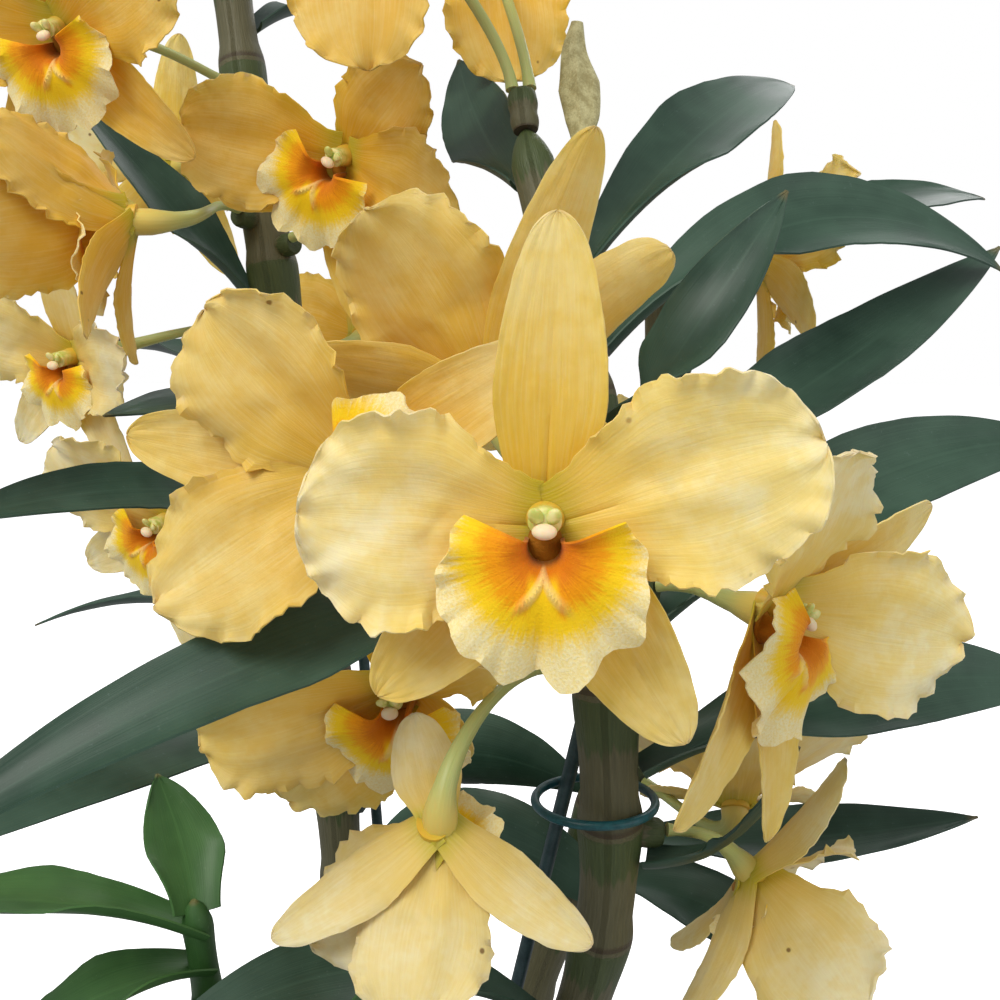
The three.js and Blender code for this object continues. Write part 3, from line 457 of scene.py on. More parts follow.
def tube(piece, points, radii, sides, kind=0, place=None, squash=1.0, ribs=None, reference=None):
    """A closed tube through points. squash flattens it across its first side direction."""
    points = np.asarray(points, dtype=float)
    along = tangents(points)
    across = vec(0, 0, 1) if abs(along[0][2]) < 0.9 else vec(1, 0, 0)
    across = unit(np.cross(across, along[0])) if reference is None else unit(reference)
    turn = circle(sides)
    rings = []
    for i, (point, way) in enumerate(zip(points, along)):
        across = unit(across - way * across.dot(way))
        radius = radii[i] * (np.ones(sides) if ribs is None else ribs[i])
        rings.append(point + np.outer(radius * np.cos(turn) * squash, across)
                     + np.outer(radius * np.sin(turn), np.cross(way, across)))
    if place is None:
        place = tube_place(np.linspace(0, 1, len(points)), turn, np.zeros(len(points)))
    cap_place = np.array([place[0, 0], place[-1, 0]])
    piece.add(np.concatenate([np.concatenate(rings), points[[0, -1]]]), tube_faces(len(points), sides),
              np.concatenate([place.reshape(-1, 3), cap_place]), kind)


def tube_place(share, turn, index):
    """A tube's three numbers: one along it, the angle round it, and another along it."""
    return np.stack([*np.meshgrid(share, turn, indexing="ij"),
                     np.repeat(index[:, None], len(turn), 1)], axis=-1)


# ---------- blades


def outline(t, form):
    """A blade's half width at t, as a share of its greatest."""
    beyond = np.clip((t - form["peak"]) / (1 - form["peak"]), 0, 1)
    tip = (1 - beyond ** form["tip_power"]) ** (1 / form["tip_root"])
    base = lerp(form["base"], 1, smooth(t, 0, form["peak"]))
    return np.where(t < form["peak"], base, np.maximum(tip, BLUNT_TIP))


def blade_points(frames, form, t, v, phase):
    """A blade's grid on its frames (point, side and face at each t), and how near its margin each
    point of the grid is: 0 on the middle line, 1 on the margin."""
    point, side, face = frames
    frill = form["frill"]
    tt, vv = np.meshgrid(t, v, indexing="ij")
    cup = lerp(form.get("base_cup", form["cup"]), form["cup"], smooth(tt, 0.15, 0.6))
    beyond = np.clip((tt - form["peak"]) / (1 - form["peak"]), 0, 1)
    edge = 1 - (1 - vv**2) * (1 - beyond**2)
    plain = form["half"] * outline(tt, form)
    around = np.arctan2(vv * plain / form["length"], tt - BLADE_CENTRE)
    off_foot = smooth(tt, 0.1, 0.45)
    half = plain * (1 + SCALLOP_DEPTH * frill * ripple(SCALLOPS, around, phase) * edge**4)
    half = half * (1 + LOBE_DEPTH * frill * ripple(LOBES, around, phase) * edge**2)
    half = half * (1 - form["taper"] * smooth(tt, 0.4, 1.0))
    out = half * np.sin(cup * vv) / cup
    up = half * (1 - np.cos(cup * vv)) / cup
    up = up + form["wave"] * edge**3 * off_foot * np.sin(form["waves"] * around + phase)
    up = up + RUFFLE_HEIGHT * frill * edge**4 * off_foot * ripple(RUFFLES, around, phase)
    pleat = np.sin(6.5 * vv + 1.7 * phase + 1.2 * tt) + 0.6 * np.sin(11 * vv - 2.3 * phase)
    pucker = np.sin(17 * vv + 5 * tt + phase) * np.sin(23 * tt - 4 * vv + 2 * phase)
    up = up + off_foot * (PLEAT_HEIGHT * frill * pleat + PUCKER_HEIGHT * pucker)
    swell = np.sin(3.1 * around + 9 * phase + 4 * tt)
    up = up + SWELL_HEIGHT * frill * swell * tt * (1 - tt)
    up = up - MIDRIB_DEPTH * bell(vv, MIDRIB_WIDTH) * (1 - tt)
    grid = point[:, None] + side[:, None] * out[..., None] + face[:, None] * up[..., None]
    return grid, edge


def grid_normals(grid, facing):
    """Normals of a grid, on the side of it that looks along facing."""
    normal = np.cross(np.gradient(grid, axis=0), np.gradient(grid, axis=1))
    normal = normal / np.maximum(np.linalg.norm(normal, axis=-1, keepdims=True), 1e-9)
    return normal if (normal * facing).sum(axis=-1).mean() > 0 else -normal


def fine_rows(rows):
    """Places along a blade, closer together towards its tip."""
    return 1 - (1 - np.linspace(0, 1, rows + 1)) ** 1.6


def fine_columns(columns):
    """Places across a blade, closer together towards its margins."""
    s = np.linspace(-1, 1, columns + 1)
    return np.sin(s * math.pi / 2) * 0.45 + s * 0.55


def bending_frames(start, along, face, form, t):
    """The middle line of a sepal or petal, bending back from its facing."""
    side = np.cross(along, face)
    fine = np.linspace(0, 1, 193)
    steps = len(fine) - 1

    def bent(x):
        return -form["curl"] * (smooth(x, BEND_FROM, BEND_TO) - smooth(0.0, BEND_FROM, BEND_TO))

    heading = turned(np.broadcast_to(along, (steps, 3)), side, bent((fine[1:] + fine[:-1]) / 2))
    line = start + np.vstack([np.zeros(3), np.cumsum(heading, axis=0) * form["length"] / steps])
    point = np.stack([np.interp(t, fine, line[:, k]) for k in range(3)], axis=-1)
    faces = turned(np.broadcast_to(face, (len(t), 3)), side, bent(t))
    return point, np.broadcast_to(side, (len(t), 3)), faces


def add_blade(piece, frames, form, t, v, phase, thickness, kind, seed):
    grid, edge = blade_points(frames, form, t, v, phase)
    half = thickness / 2 * (1 - MARGIN_THINNING * edge**2)
    tt, vv = np.meshgrid(t, v, indexing="ij")
    place = np.stack([tt, vv * form["half"] / 10, np.full_like(tt, seed)], axis=-1)
    sheet(piece, grid, grid_normals(grid, frames[2][:, None]), half, place, kind)


# ---------- blooms

PETAL_KIND, LIP_KIND, COLUMN_KIND, STALK_KIND, CAP_KIND, SEPAL_KIND = range(6)


def bloom_axes(facing, roll):
    az, el = math.radians(facing[0]), math.radians(facing[1])
    ahead = vec(math.sin(az) * math.cos(el), -math.cos(az) * math.cos(el), math.sin(el))
    up = unit(vec(0, 0, 1) - ahead * ahead[2])
    up = turned(up, ahead, -roll)
    return ahead, up, np.cross(up, ahead)


def spur_end(cane_name, spur_name):
    cane = CANES[cane_name]
    height, way = cane["spurs"][spur_name]
    curve = Spline(cane["axis"])
    share = curve.share_at_height(height)
    root = curve.at(share)
    direction = unit(vec(way))
    reach = cane_radius(share, cane["scale"]) * 0.6 + SPUR_LENGTH + 1.5
    return root, direction, root + direction * reach


def add_tepal(piece, middle, axes, form, mirror, size, phase, detail, seed):
    ahead, up, right = axes
    clock, rise = math.radians(form["clock"] * mirror), math.radians(form["rise"])
    outward = up * math.cos(clock) + right * math.sin(clock)
    along = ahead * math.cos(rise) + outward * math.sin(rise)
    face = ahead * math.sin(rise) - outward * math.cos(rise)
    petal = form["wave"] > PETAL_WAVE
    sized = {**form, **(PETAL_MAKE if petal else SEPAL_MAKE),
             "length": form["length"] * size, "half": form["half"] * size}
    t, v = fine_rows(int(TEPAL_ROWS * detail)), fine_columns(int(TEPAL_COLUMNS * detail))
    start = middle + outward * 0.9 + ahead * form["ahead"]
    frames = bending_frames(start, along, face, sized, t)
    kind = PETAL_KIND if petal else SEPAL_KIND
    add_blade(piece, frames, sized, t, v, phase, TEPAL_THICKNESS, kind, seed)


def lip_profile(s):
    """How far out and ahead the lip is at s of the way to its rim: shares of reach and length."""
    fine = np.linspace(0, 1, 161)
    bend = np.radians(LIP["bend"]) * smooth(fine, LIP["bend_from"], LIP["bend_to"])
    out, ahead = [np.concatenate([[0], np.cumsum((way(bend[1:]) + way(bend[:-1])) / 2)])
                  / (len(fine) - 1) for way in (np.sin, np.cos)]
    return np.interp(s, fine, out) / out[-1], np.interp(s, fine, ahead)


def add_lip(piece, middle, axes, size, phase, detail):
    """The lip: a short tube under the column that flares into a round, frilled blade."""
    ahead, up, right = axes
    rows = fine_rows(int(LIP_ROWS * detail)) ** 1.1
    ss, uu = np.meshgrid(rows, np.linspace(-1, 1, int(LIP_COLUMNS * detail) + 1), indexing="ij")
    angle = np.radians(LIP["open"]) * uu
    away = np.abs(angle)
    reach = np.interp(away, LIP["angles"], LIP["reaches"]) * (1 + ripple(LIP_LOBES, angle, phase))
    share_out, share_ahead = lip_profile(ss)
    out = LIP["throat"] + (reach - LIP["throat"]) * share_out
    rim = np.maximum(ss, np.abs(uu) ** 5 * smooth(ss, 0.1, 0.5))
    wave = LIP["wave"] * rim**4 * np.sin(LIP["waves"] * angle + phase)
    wave += LIP["ruffle"] * rim**8 * ripple(LIP_RUFFLES, angle, phase)
    fold = LIP["fold"] * bell(angle, LIP["fold_width"]) * smooth(ss, 0.5, 1.0)
    crest = bell(out - LIP["crest_foot"] - LIP["crest_slope"] * away, LIP["crest_width"])
    crest = LIP["crest"] * crest * smooth(LIP["crest_end"] - away, 0, 0.12)
    forward = LIP["length"] * share_ahead + wave - fold + crest
    radial = -up * np.cos(angle)[..., None] + right * np.sin(angle)[..., None]
    base = middle - up * LIP["drop"] * size + ahead * 0.4
    grid = base + (radial * out[..., None] + ahead * forward[..., None]) * size
    half = LIP["thickness"] / 2 * (1 - 0.5 * rim**2)
    place = np.stack([out / 10, angle, ss], axis=-1)
    sheet(piece, grid, grid_normals(grid, ahead - radial), half, place, LIP_KIND)


def add_ball(piece, centre, ways, sizes, rings, sides, kind, place=(1, 0, 0)):
    """An egg with three half sizes along three square directions, with its poles on the first."""
    turn = np.linspace(0, math.pi, rings)
    points = [centre - ways[0] * sizes[0] * math.cos(x) for x in turn]
    tube(piece, points, sizes[2] * np.sin(turn) + 0.01, sides, kind,
         place=np.broadcast_to(vec(place), (rings, sides, 3)),
         squash=sizes[1] / sizes[2], reference=ways[1])


def add_column(piece, middle, axes, size, detail):
    """The column with its two-lobed tip, the pale cap under the lobes and the lip's well, a brown
    ball whose darkness is partly painted shade.
    """
    ahead, up, right = axes
    share = np.linspace(0, 1, int(14 * detail))
    length = COLUMN_LENGTH - 0.6
    points = [middle + ahead * (x * length - 1.0) + up * 1.2 for x in share]
    radii = lerp(2.7, 1.9, smooth(share, 0, 0.6)) * (1 - 0.6 * smooth(share, 0.92, 1.0))
    tube(piece, points, radii, int(18 * detail), COLUMN_KIND, squash=1.15, reference=right)
    rings, sides = int(9 * detail) + 3, int(14 * detail)
    tip = middle + ahead * (length - 1.0)
    for way in (-1, 1):
        lobe = tip + ahead * 0.4 + up * 2.0 + right * 1.15 * way
        lean = unit(up * 0.7 + ahead * 0.5 + right * 0.5 * way)
        across = unit(np.cross(lean, ahead))
        add_ball(piece, lobe, (lean, across, np.cross(lean, across)), (1.3, 0.95, 0.6), rings, sides,
                 COLUMN_KIND)
    cap = tip + ahead * 1.0 + up * 0.1
    lean = unit(ahead - up * 0.6)
    add_ball(piece, cap, (lean, right, np.cross(lean, right)), (1.2, 1.6, 0.95), rings, sides, CAP_KIND)
    # The well takes the lip's throat colour: a brown deepened as painted shade.
    well = middle - up * LIP["drop"] * size + ahead * 0.9
    add_ball(piece, well, (ahead, right, up), (1.0, 3.1 * size, 3.1 * size), rings, sides, LIP_KIND,
             place=(0.1, 0, 0))


def add_stalk(piece, middle, axes, bloom, detail):
    """The chin, ovary and stalk, from behind the heart to the side of the spur's end."""
    ahead = axes[0]
    cane_name, spur_name, seat = bloom["spur"]
    _, direction, end = spur_end(cane_name, spur_name)
    outward = vec(0, -1, 1)
    outward = turned(unit(outward - direction * outward.dot(direction)), direction, seat)
    foot = end + direction * 2 * GAP + outward * STALK_SPREAD
    distance = np.linalg.norm(middle - foot)
    share = np.linspace(0, 1, int(26 * detail))
    curve = bezier([middle + ahead * 1.0, middle - ahead * 0.45 * distance,
                    foot + direction * 0.3 * distance, foot], share)
    radii = np.interp(share, STALK_SHARES, STALK_RADII)
    tube(piece, curve, radii, int(12 * detail), STALK_KIND)


def bloom_piece(name, k):
    bloom = BLOOMS[name]
    middle = vec(bloom["at"])
    axes = bloom_axes(bloom["facing"], bloom["roll"])
    size = bloom.get("size", 1)
    detail = FRONT_DETAIL if name == "bloom_01" else 1.0
    piece = Piece()
    add_stalk(piece, middle, axes, bloom, detail)
    add_column(piece, middle, axes, size, detail)
    tepals = ((TOP_SEPAL, "top_sepal", 1, 0), (SIDE_SEPAL, "side_sepal_right", 1, 4),
              (SIDE_SEPAL, "side_sepal_left", -1, 8), (PETAL, "petal_right", 1, 12),
              (PETAL, "petal_left", -1, 16))
    for base, part, mirror, n in tepals:
        form = {**base, "clock": base["clock"] + 4 * vary(k, n),
                "rise": base["rise"] + bloom.get("half_closed", 0) + 5 * vary(k, n + 1),
                "curl": base["curl"] + 6 * vary(k, n + 2), **bloom.get(part, {})}
        add_tepal(piece, middle, axes, form, mirror, size, 3 * vary(k, n + 3), detail, k + n / 40)
    lip_size = size * (HALF_CLOSED_LIP if "half_closed" in bloom else 1)
    add_lip(piece, middle, axes, lip_size, 3 * vary(k, 23), detail)
    return piece


# ---------- canes, leaves and young growth


def cane_radius(share, scale):
    swell = lerp(0.72, 1, smooth(share, 0.1, 0.45)) - 0.3 * smooth(share, 0.75, 1)
    return CANE_RADIUS * scale * swell


def cane_tube(piece, axis, scale, sides):
    """A cane: proud joints, slim waists above them, fine grooves and a rounded end."""
    curve = Spline(axis)
    joints = round(curve.length / JOINT_SPACING)
    share = np.linspace(0, 1, joints * 16 + 1)
    past = (share * joints) % 1
    past[-1] = 1
    proud = np.where(past < JOINT_FALL, 1 - smooth(past, 0, JOINT_FALL),
                     smooth(past, JOINT_FALL, 1.0) ** 2)
    radii = cane_radius(share, scale) + CANE_JOINT_PROUD * proud
    radii = radii - WAIST_DEPTH * bell(past - 0.03, 0.02)
    radii = radii * np.sqrt(np.clip((1 - share) * curve.length / radii[-1] / 1.6, 0.02, 1))
    turn = circle(sides)
    grooves = 1 + GROOVE_DEPTH * (np.sin(14 * turn) + np.sin(5 * turn + 2))
    place = tube_place(past, turn, np.floor(share * joints - 1e-6))
    tube(piece, curve.at(share), radii, sides, place=place, ribs=[grooves] * len(share))
    return curve


def add_spur(piece, cane_name, spur_name):
    root, direction, end = spur_end(cane_name, spur_name)
    share = np.linspace(0, 1, 13)
    points = root + direction + np.outer(share, end - root - direction)
    radii = SPUR_RADIUS * (0.8 + 0.12 * share + 0.1 * np.abs(np.sin(share * 7)))
    radii[-1] *= 0.8
    tube(piece, points, radii, 16)


def cane_piece(name):
    cane = CANES[name]
    piece = Piece()
    cane_tube(piece, cane["axis"], cane["scale"], 28)
    for spur in cane["spurs"]:
        add_spur(piece, name, spur)
    return piece


def leaf_start(curve, scale, height, over, clearance):
    """The foot of a leaf on the side of its cane that looks towards the leaf."""
    share = curve.share_at_height(height)
    root = curve.at(share)
    way = unit(vec(over[0] - root[0], over[1] - root[1], 0))
    past = (share * round(curve.length / JOINT_SPACING)) % 1
    fall = past / JOINT_FALL if past < JOINT_FALL else (1 - past) / (1 - JOINT_FALL)
    return root + way * (cane_radius(share, scale) + CANE_JOINT_PROUD * (1 - fall) + clearance)


def add_leaf(piece, start, over, tip, half, lean, seed):
    t, v = fine_rows(LEAF_ROWS), fine_columns(LEAF_COLUMNS)
    path = [start, over, tip]
    even_steps = np.diff(bezier(path, np.linspace(0, 1, 60)), axis=0)
    along = units(bezier([vec(over) - start, vec(tip) - vec(over)], t))
    side = units(np.cross(along, vec(0, 0, 1)))
    side = np.array([turned(a, b, lean * float(smooth(x, 0, 0.5))) for a, b, x in zip(side, along, t)])
    form = {**LEAF_FORM, "half": half, "base": LEAF_CLASP_HALF_WIDTH / half,
            "length": np.linalg.norm(even_steps, axis=1).sum()}
    frames = (bezier(path, t), side, np.cross(side, along))
    add_blade(piece, frames, form, t, v, half, LEAF_THICKNESS, 0, seed)


def leaf_piece(leaf, seed):
    cane_name, height, over, tip, half, lean, off = leaf
    cane = CANES[cane_name]
    piece = Piece()
    start = leaf_start(Spline(cane["axis"]), cane["scale"], height, over, LEAF_CLEARANCE + off)
    add_leaf(piece, start, over, tip, half, lean, seed)
    return piece


def shoot_piece():
    piece = Piece()
    curve = cane_tube(piece, SHOOT_AXIS, SHOOT_SCALE, 20)
    for n, (height, over, tip, half) in enumerate(SHOOT_LEAVES):
        start = leaf_start(curve, SHOOT_SCALE, height, over, -SHOOT_LEAF_SUNK)
        add_leaf(piece, start, over, tip, half, 0, n / 5)
    return piece


# ---------- sticks, clips and the bud


def stick_piece(name):
    """A round stick with a rounded top."""
    piece = Piece()
    low, high = vec(STICKS[name]["foot"]), vec(STICKS[name]["top"])
    share = np.concatenate([np.linspace(0, 0.985, 40), [0.991, 0.996, 1.0]])
    radii = np.full(len(share), STICK_RADIUS)
    radii[-3:] = STICK_RADIUS * vec(0.94, 0.75, 0.35)
    tube(piece, low + np.outer(share, high - low), radii, 16)
    return piece


def clip_piece(name):
    """A plain wire ring round a cane and its stick."""
    cane, stick = CANES[name], STICKS[name]
    curve = Spline(cane["axis"])
    height = stick["clip"]
    share = curve.share_at_height(height)
    centre, radius = curve.at(share), cane_radius(share, cane["scale"])
    low, high = vec(stick["foot"]), vec(stick["top"])
    pole = lerp(low, high, (height - low[2]) / (high[2] - low[2]))
    way = unit((pole - centre) * vec(1, 1, 0))
    near = centre - way * (radius + CANE_JOINT_PROUD)
    far = pole + way * (STICK_RADIUS + 2 * GAP)
    middle, reach = (near + far) / 2, np.linalg.norm(far - near) / 2 + CLIP_WIRE_RADIUS
    side = np.cross(vec(0, 0, 1), way)
    ring = [vec(middle[0], middle[1], height) + (way * math.cos(x) + side * math.sin(x)) * reach
            for x in np.linspace(0, 2 * math.pi, 73)]
    piece = Piece()
    tube(piece, ring, np.full(len(ring), CLIP_WIRE_RADIUS), 12)
    return piece


def bud_piece():
    """The withered bud, with shrunken folds along it."""
    piece = Piece()
    curve = Spline(BUD_AXIS)
    share, sides = np.linspace(0, 1, 40), 22
    turn = circle(sides)
    ribs = 1 + 0.1 * np.outer(np.sin(share * math.pi), np.sin(5 * turn))
    ribs = ribs + 0.05 * np.outer(np.sin(share * 9), np.sin(9 * turn + 4))
    tube(piece, curve.at(share), np.interp(share, curve.knots, BUD_RADII), sides, ribs=ribs)
    return piece


# ---------- pot and bark


def pot_radius(height):
    return lerp(POT_FOOT_RADIUS, POT_TOP_RADIUS, height / POT_HEIGHT)


def pot_profile():
    """Radius and height, from near the middle of the bottom, with a shallow ring pressed into it,
    up the wall, over the rim and down the inside."""
    rim = POT_HEIGHT - POT_RIM_HEIGHT
    edge, inside = POT_TOP_RADIUS + POT_RIM_PROUD, POT_TOP_RADIUS - POT_WALL
    under = pot_radius(rim)
    return np.array([
        (34, 0), (36, 0.6), (38, 0.6), (40, 0),
        (POT_FOOT_RADIUS - 1.5, 0), (POT_FOOT_RADIUS - 0.2, 0.6), (POT_FOOT_RADIUS + 0.2, 1.8),
        *[(pot_radius(z), z) for z in np.linspace(6, rim - 1, 12)],
        (under + 0.3, rim - 0.3), (under + POT_RIM_PROUD - 0.4, rim),
        (under + POT_RIM_PROUD, rim + 0.5), (edge, POT_HEIGHT - 0.7), (edge - 0.6, POT_HEIGHT),
        (inside + 0.4, POT_HEIGHT), (inside, POT_HEIGHT - 0.5),
        *[(pot_radius(z) - POT_WALL, z) for z in np.linspace(rim - 6, 5, 8)],
        (POT_FOOT_RADIUS - POT_WALL - 1.5, POT_WALL), (20, POT_WALL)])


def make_pot(material):
    body = pot_profile()
    sides = 96
    turn = circle(sides)
    ring = np.stack([np.outer(body[:, 0], np.cos(turn)), np.outer(body[:, 0], np.sin(turn)),
                     np.repeat(body[:, 1:2], sides, 1)], axis=-1)
    points = np.concatenate([ring.reshape(-1, 3), [(0, 0, 0), (0, 0, POT_WALL)]])
    piece = Piece()
    piece.add(points, tube_faces(len(body), sides), np.zeros_like(points))
    obj = piece.make("pot", [material], "pot")
    for angle in circle(DRAIN_HOLES):
        cut_hole(obj, DRAIN_RING_RADIUS * math.cos(angle), DRAIN_RING_RADIUS * math.sin(angle))


def cut_hole(obj, x, y):
    bpy.ops.mesh.primitive_cylinder_add(vertices=32, radius=DRAIN_HOLE_RADIUS * MM, depth=6 * MM,
                                        location=(x * MM, y * MM, MM))
    cutter = bpy.context.object
    modifier = obj.modifiers.new("hole", "BOOLEAN")
    modifier.operation = "DIFFERENCE"
    modifier.object = cutter
    modifier.solver = "EXACT"
    bpy.context.view_layer.objects.active = obj
    bpy.ops.object.modifier_apply(modifier=modifier.name)
    bpy.data.objects.remove(cutter)


def chip_points(rng, length):
    """One chip of bark: a rough, bevelled block of random width."""
    width, height = length * rng.uniform(0.45, 0.8), rng.uniform(3.5, 6.5)
    mesh = bmesh.new()
    bmesh.ops.create_cube(mesh, size=1)
    bmesh.ops.subdivide_edges(mesh, edges=mesh.edges[:], cuts=3, use_grid_fill=True)
    points = np.array([v.co[:] for v in mesh.verts])
    mesh.verts.ensure_lookup_table()
    faces = [tuple(v.index for v in f.verts) for f in mesh.faces]
    mesh.free()
    ball = units(points) * 0.62
    points = lerp(points, ball, 0.45) * vec(length, width, height)
    a, b, c = rng.uniform(0, 6, 3)
    points[:, 2] += 0.9 * np.sin(points[:, 0] * 0.45 + a) * np.cos(points[:, 1] * 0.6 + b)
    points[:, 1] += 0.8 * np.sin(points[:, 0] * 0.8 + c)
    return points + rng.normal(0, 0.16, points.shape), faces


def spin(rng):
    """A random turn about the upright, and a smaller tilt about the two other axes."""
    angles = rng.uniform(-0.45, 0.45), rng.uniform(-0.45, 0.45), rng.uniform(0, 2 * math.pi)
    return np.array(Euler(angles).to_matrix())


def bark_piece():
    """A body that fills the pot, with chips strewn over its top and kept off the stems."""
    rng = np.random.default_rng(BARK_SEED)
    piece = Piece()
    wall = pot_radius(BARK_TOP) - POT_WALL - 0.8
    top = BARK_TOP - 3.5
    heights = [3, 3.001, 20, 60, top - 1, top, top + 0.001]
    radii = [0.5, *[pot_radius(z) - 2.9 for z in (3, 20, 60)], wall - 0.5, wall - 2, 0.5]
    tube(piece, [(0, 0, z) for z in heights], radii, 48)
    stems = [vec(axis[0])[:2] for axis in [*[cane["axis"] for cane in CANES.values()], SHOOT_AXIS]]
    for n in range(CHIPS):
        length = rng.uniform(*CHIP_LENGTHS)
        reach = (wall - length * 0.55) * math.sqrt(rng.uniform())
        angle = rng.uniform(0, 2 * math.pi)
        at = vec(reach * math.cos(angle), reach * math.sin(angle))
        nearest = min(np.linalg.norm(at - stem) for stem in stems)
        if nearest < STEM_ROOM:
            continue
        if nearest < 7 + length * 0.4:
            length = SMALL_CHIP
        points, faces = chip_points(rng, length)
        points = points @ spin(rng).T + vec(at[0], at[1], top + rng.uniform(0, 3.2))
        piece.add(points, faces, np.repeat([[rng.uniform(), rng.uniform(), n]], len(points), 0))
    return piece


# ---------- materials

# Petal tissue: its light margin, its full tone and the gold towards its foot. The tints are lit
# and shaded copies of it, as painted light: cream is lighter for blooms in full light, plain and
# pale are darker and greyer for blooms in shade, and deep is the deeper gold of older blooms,
# darkened further as painted shade.
TISSUES = {
    "petal_shaded_deep": ((0.86, 0.57, 0.17), (0.80, 0.48, 0.10), (0.76, 0.40, 0.02)),
    "petal_plain": ((0.88, 0.65, 0.25), (0.82, 0.56, 0.16), (0.80, 0.46, 0.05)),
    "petal_lit_cream": ((0.97, 0.85, 0.52), (0.94, 0.75, 0.33), (0.88, 0.57, 0.10)),
    "sepal_gold": ((0.92, 0.69, 0.27), (0.87, 0.59, 0.15), (0.80, 0.48, 0.04)),
    "petal_pale": ((0.86, 0.75, 0.47), (0.82, 0.66, 0.33), (0.78, 0.53, 0.13)),
}
PETAL_FOOT, PETAL_SPECK = (0.52, 0.42, 0.02), (0.12, 0.06, 0.015)
VEIN_LIGHT, VEIN_SHADE = (0.97, 0.84, 0.48), (0.66, 0.40, 0.08)
LIP_MARGIN = ((0.94, 0.74, 0.30), (0.98, 0.85, 0.48))
LIP_YELLOW, LIP_GOLD = (1.0, 0.62, 0.008), (1.0, 0.60, 0.004)
# The well colour is a brown darkened as painted shade for the inside of the throat.
LIP_ORANGE, LIP_HEART, LIP_WELL_SHADED_BROWN = (0.93, 0.34, 0.001), (0.70, 0.20, 0.001), (0.40, 0.15, 0.006)
LIP_CREST = (0.97, 0.66, 0.24)
LEAF_TIP = (0.20, 0.15, 0.05)


class Shader:
    """A material with one principled shader, and short ways to build what feeds it."""

    def __init__(self, name, roughness, specular=0.5, **fixed):
        self.material = bpy.data.materials.new(name)
        self.material.use_nodes = True
        self.tree = self.material.node_tree
        self.main = self.tree.nodes["Principled BSDF"]
        self.main.inputs["Roughness"].default_value = roughness
        self.main.inputs["Specular IOR Level"].default_value = specular
        for key, value in fixed.items():
            self.main.inputs[key.replace("_", " ")].default_value = value

    def put(self, socket, value):
        if hasattr(value, "is_output"):
            self.tree.links.new(value, socket)
        else:
            socket.default_value = value

    def node(self, kind, output=0, inputs=None, **settings):
        node = self.tree.nodes.new(kind)
        for key, value in settings.items():
            setattr(node, key, value)
        for key, value in (inputs or {}).items():
            self.put(node.inputs[key], value)
        return node.outputs[output]

    def math(self, operation, a, b=0.0):
        return self.node("ShaderNodeMath", inputs={0: a, 1: b}, operation=operation)

    def add(self, a, b):
        return self.math("ADD", a, b)

    def times(self, a, b):
        return self.math("MULTIPLY", a, b)

    def place(self):
        """The three numbers kept at each point of the mesh."""
        vector = self.node("ShaderNodeAttribute", "Vector", attribute_name="place")
        split = self.tree.nodes.new("ShaderNodeSeparateXYZ")
        self.tree.links.new(vector, split.inputs[0])
        return split.outputs[0], split.outputs[1], split.outputs[2]

    def spot(self):
        return self.node("ShaderNodeTexCoord", "Object")

    def join(self, x, y, z=0.0):
        return self.node("ShaderNodeCombineXYZ", inputs={0: x, 1: y, 2: z})

    def noise(self, vector, scale, detail=2.0, rough=0.5):
        return self.node("ShaderNodeTexNoise", "Fac", noise_dimensions="3D", inputs={
            "Vector": vector, "Scale": scale, "Detail": detail, "Roughness": rough})

    def cells(self, vector, scale):
        """Distance to the nearest of scattered points, and a chance value for each of them."""
        node = self.tree.nodes.new("ShaderNodeTexVoronoi")
        self.put(node.inputs["Vector"], vector)
        node.inputs["Scale"].default_value = scale
        chance = self.node("ShaderNodeSeparateColor", inputs={0: node.outputs["Color"]})
        return node.outputs["Distance"], chance

    def ramp(self, factor, low, high):
        """0 below low, 1 above high, smooth between; falls instead where low is above high."""
        return self.node("ShaderNodeMapRange", inputs={
            "Value": factor, "From Min": low, "From Max": high}, interpolation_type="SMOOTHSTEP")

    def mix(self, factor, a, b):
        colour = [(*x, 1.0) if isinstance(x, tuple) else x for x in (a, b)]
        return self.node("ShaderNodeMix", 2, inputs={0: factor, 6: colour[0], 7: colour[1]},
                         data_type="RGBA")

    def bump(self, height, distance, strength=1.0):
        normal = self.node("ShaderNodeBump", inputs={
            "Height": height, "Distance": distance * MM, "Strength": strength})
        self.tree.links.new(normal, self.main.inputs["Normal"])

    def colour(self, value):
        self.put(self.main.inputs["Base Color"], value)
        return self.material


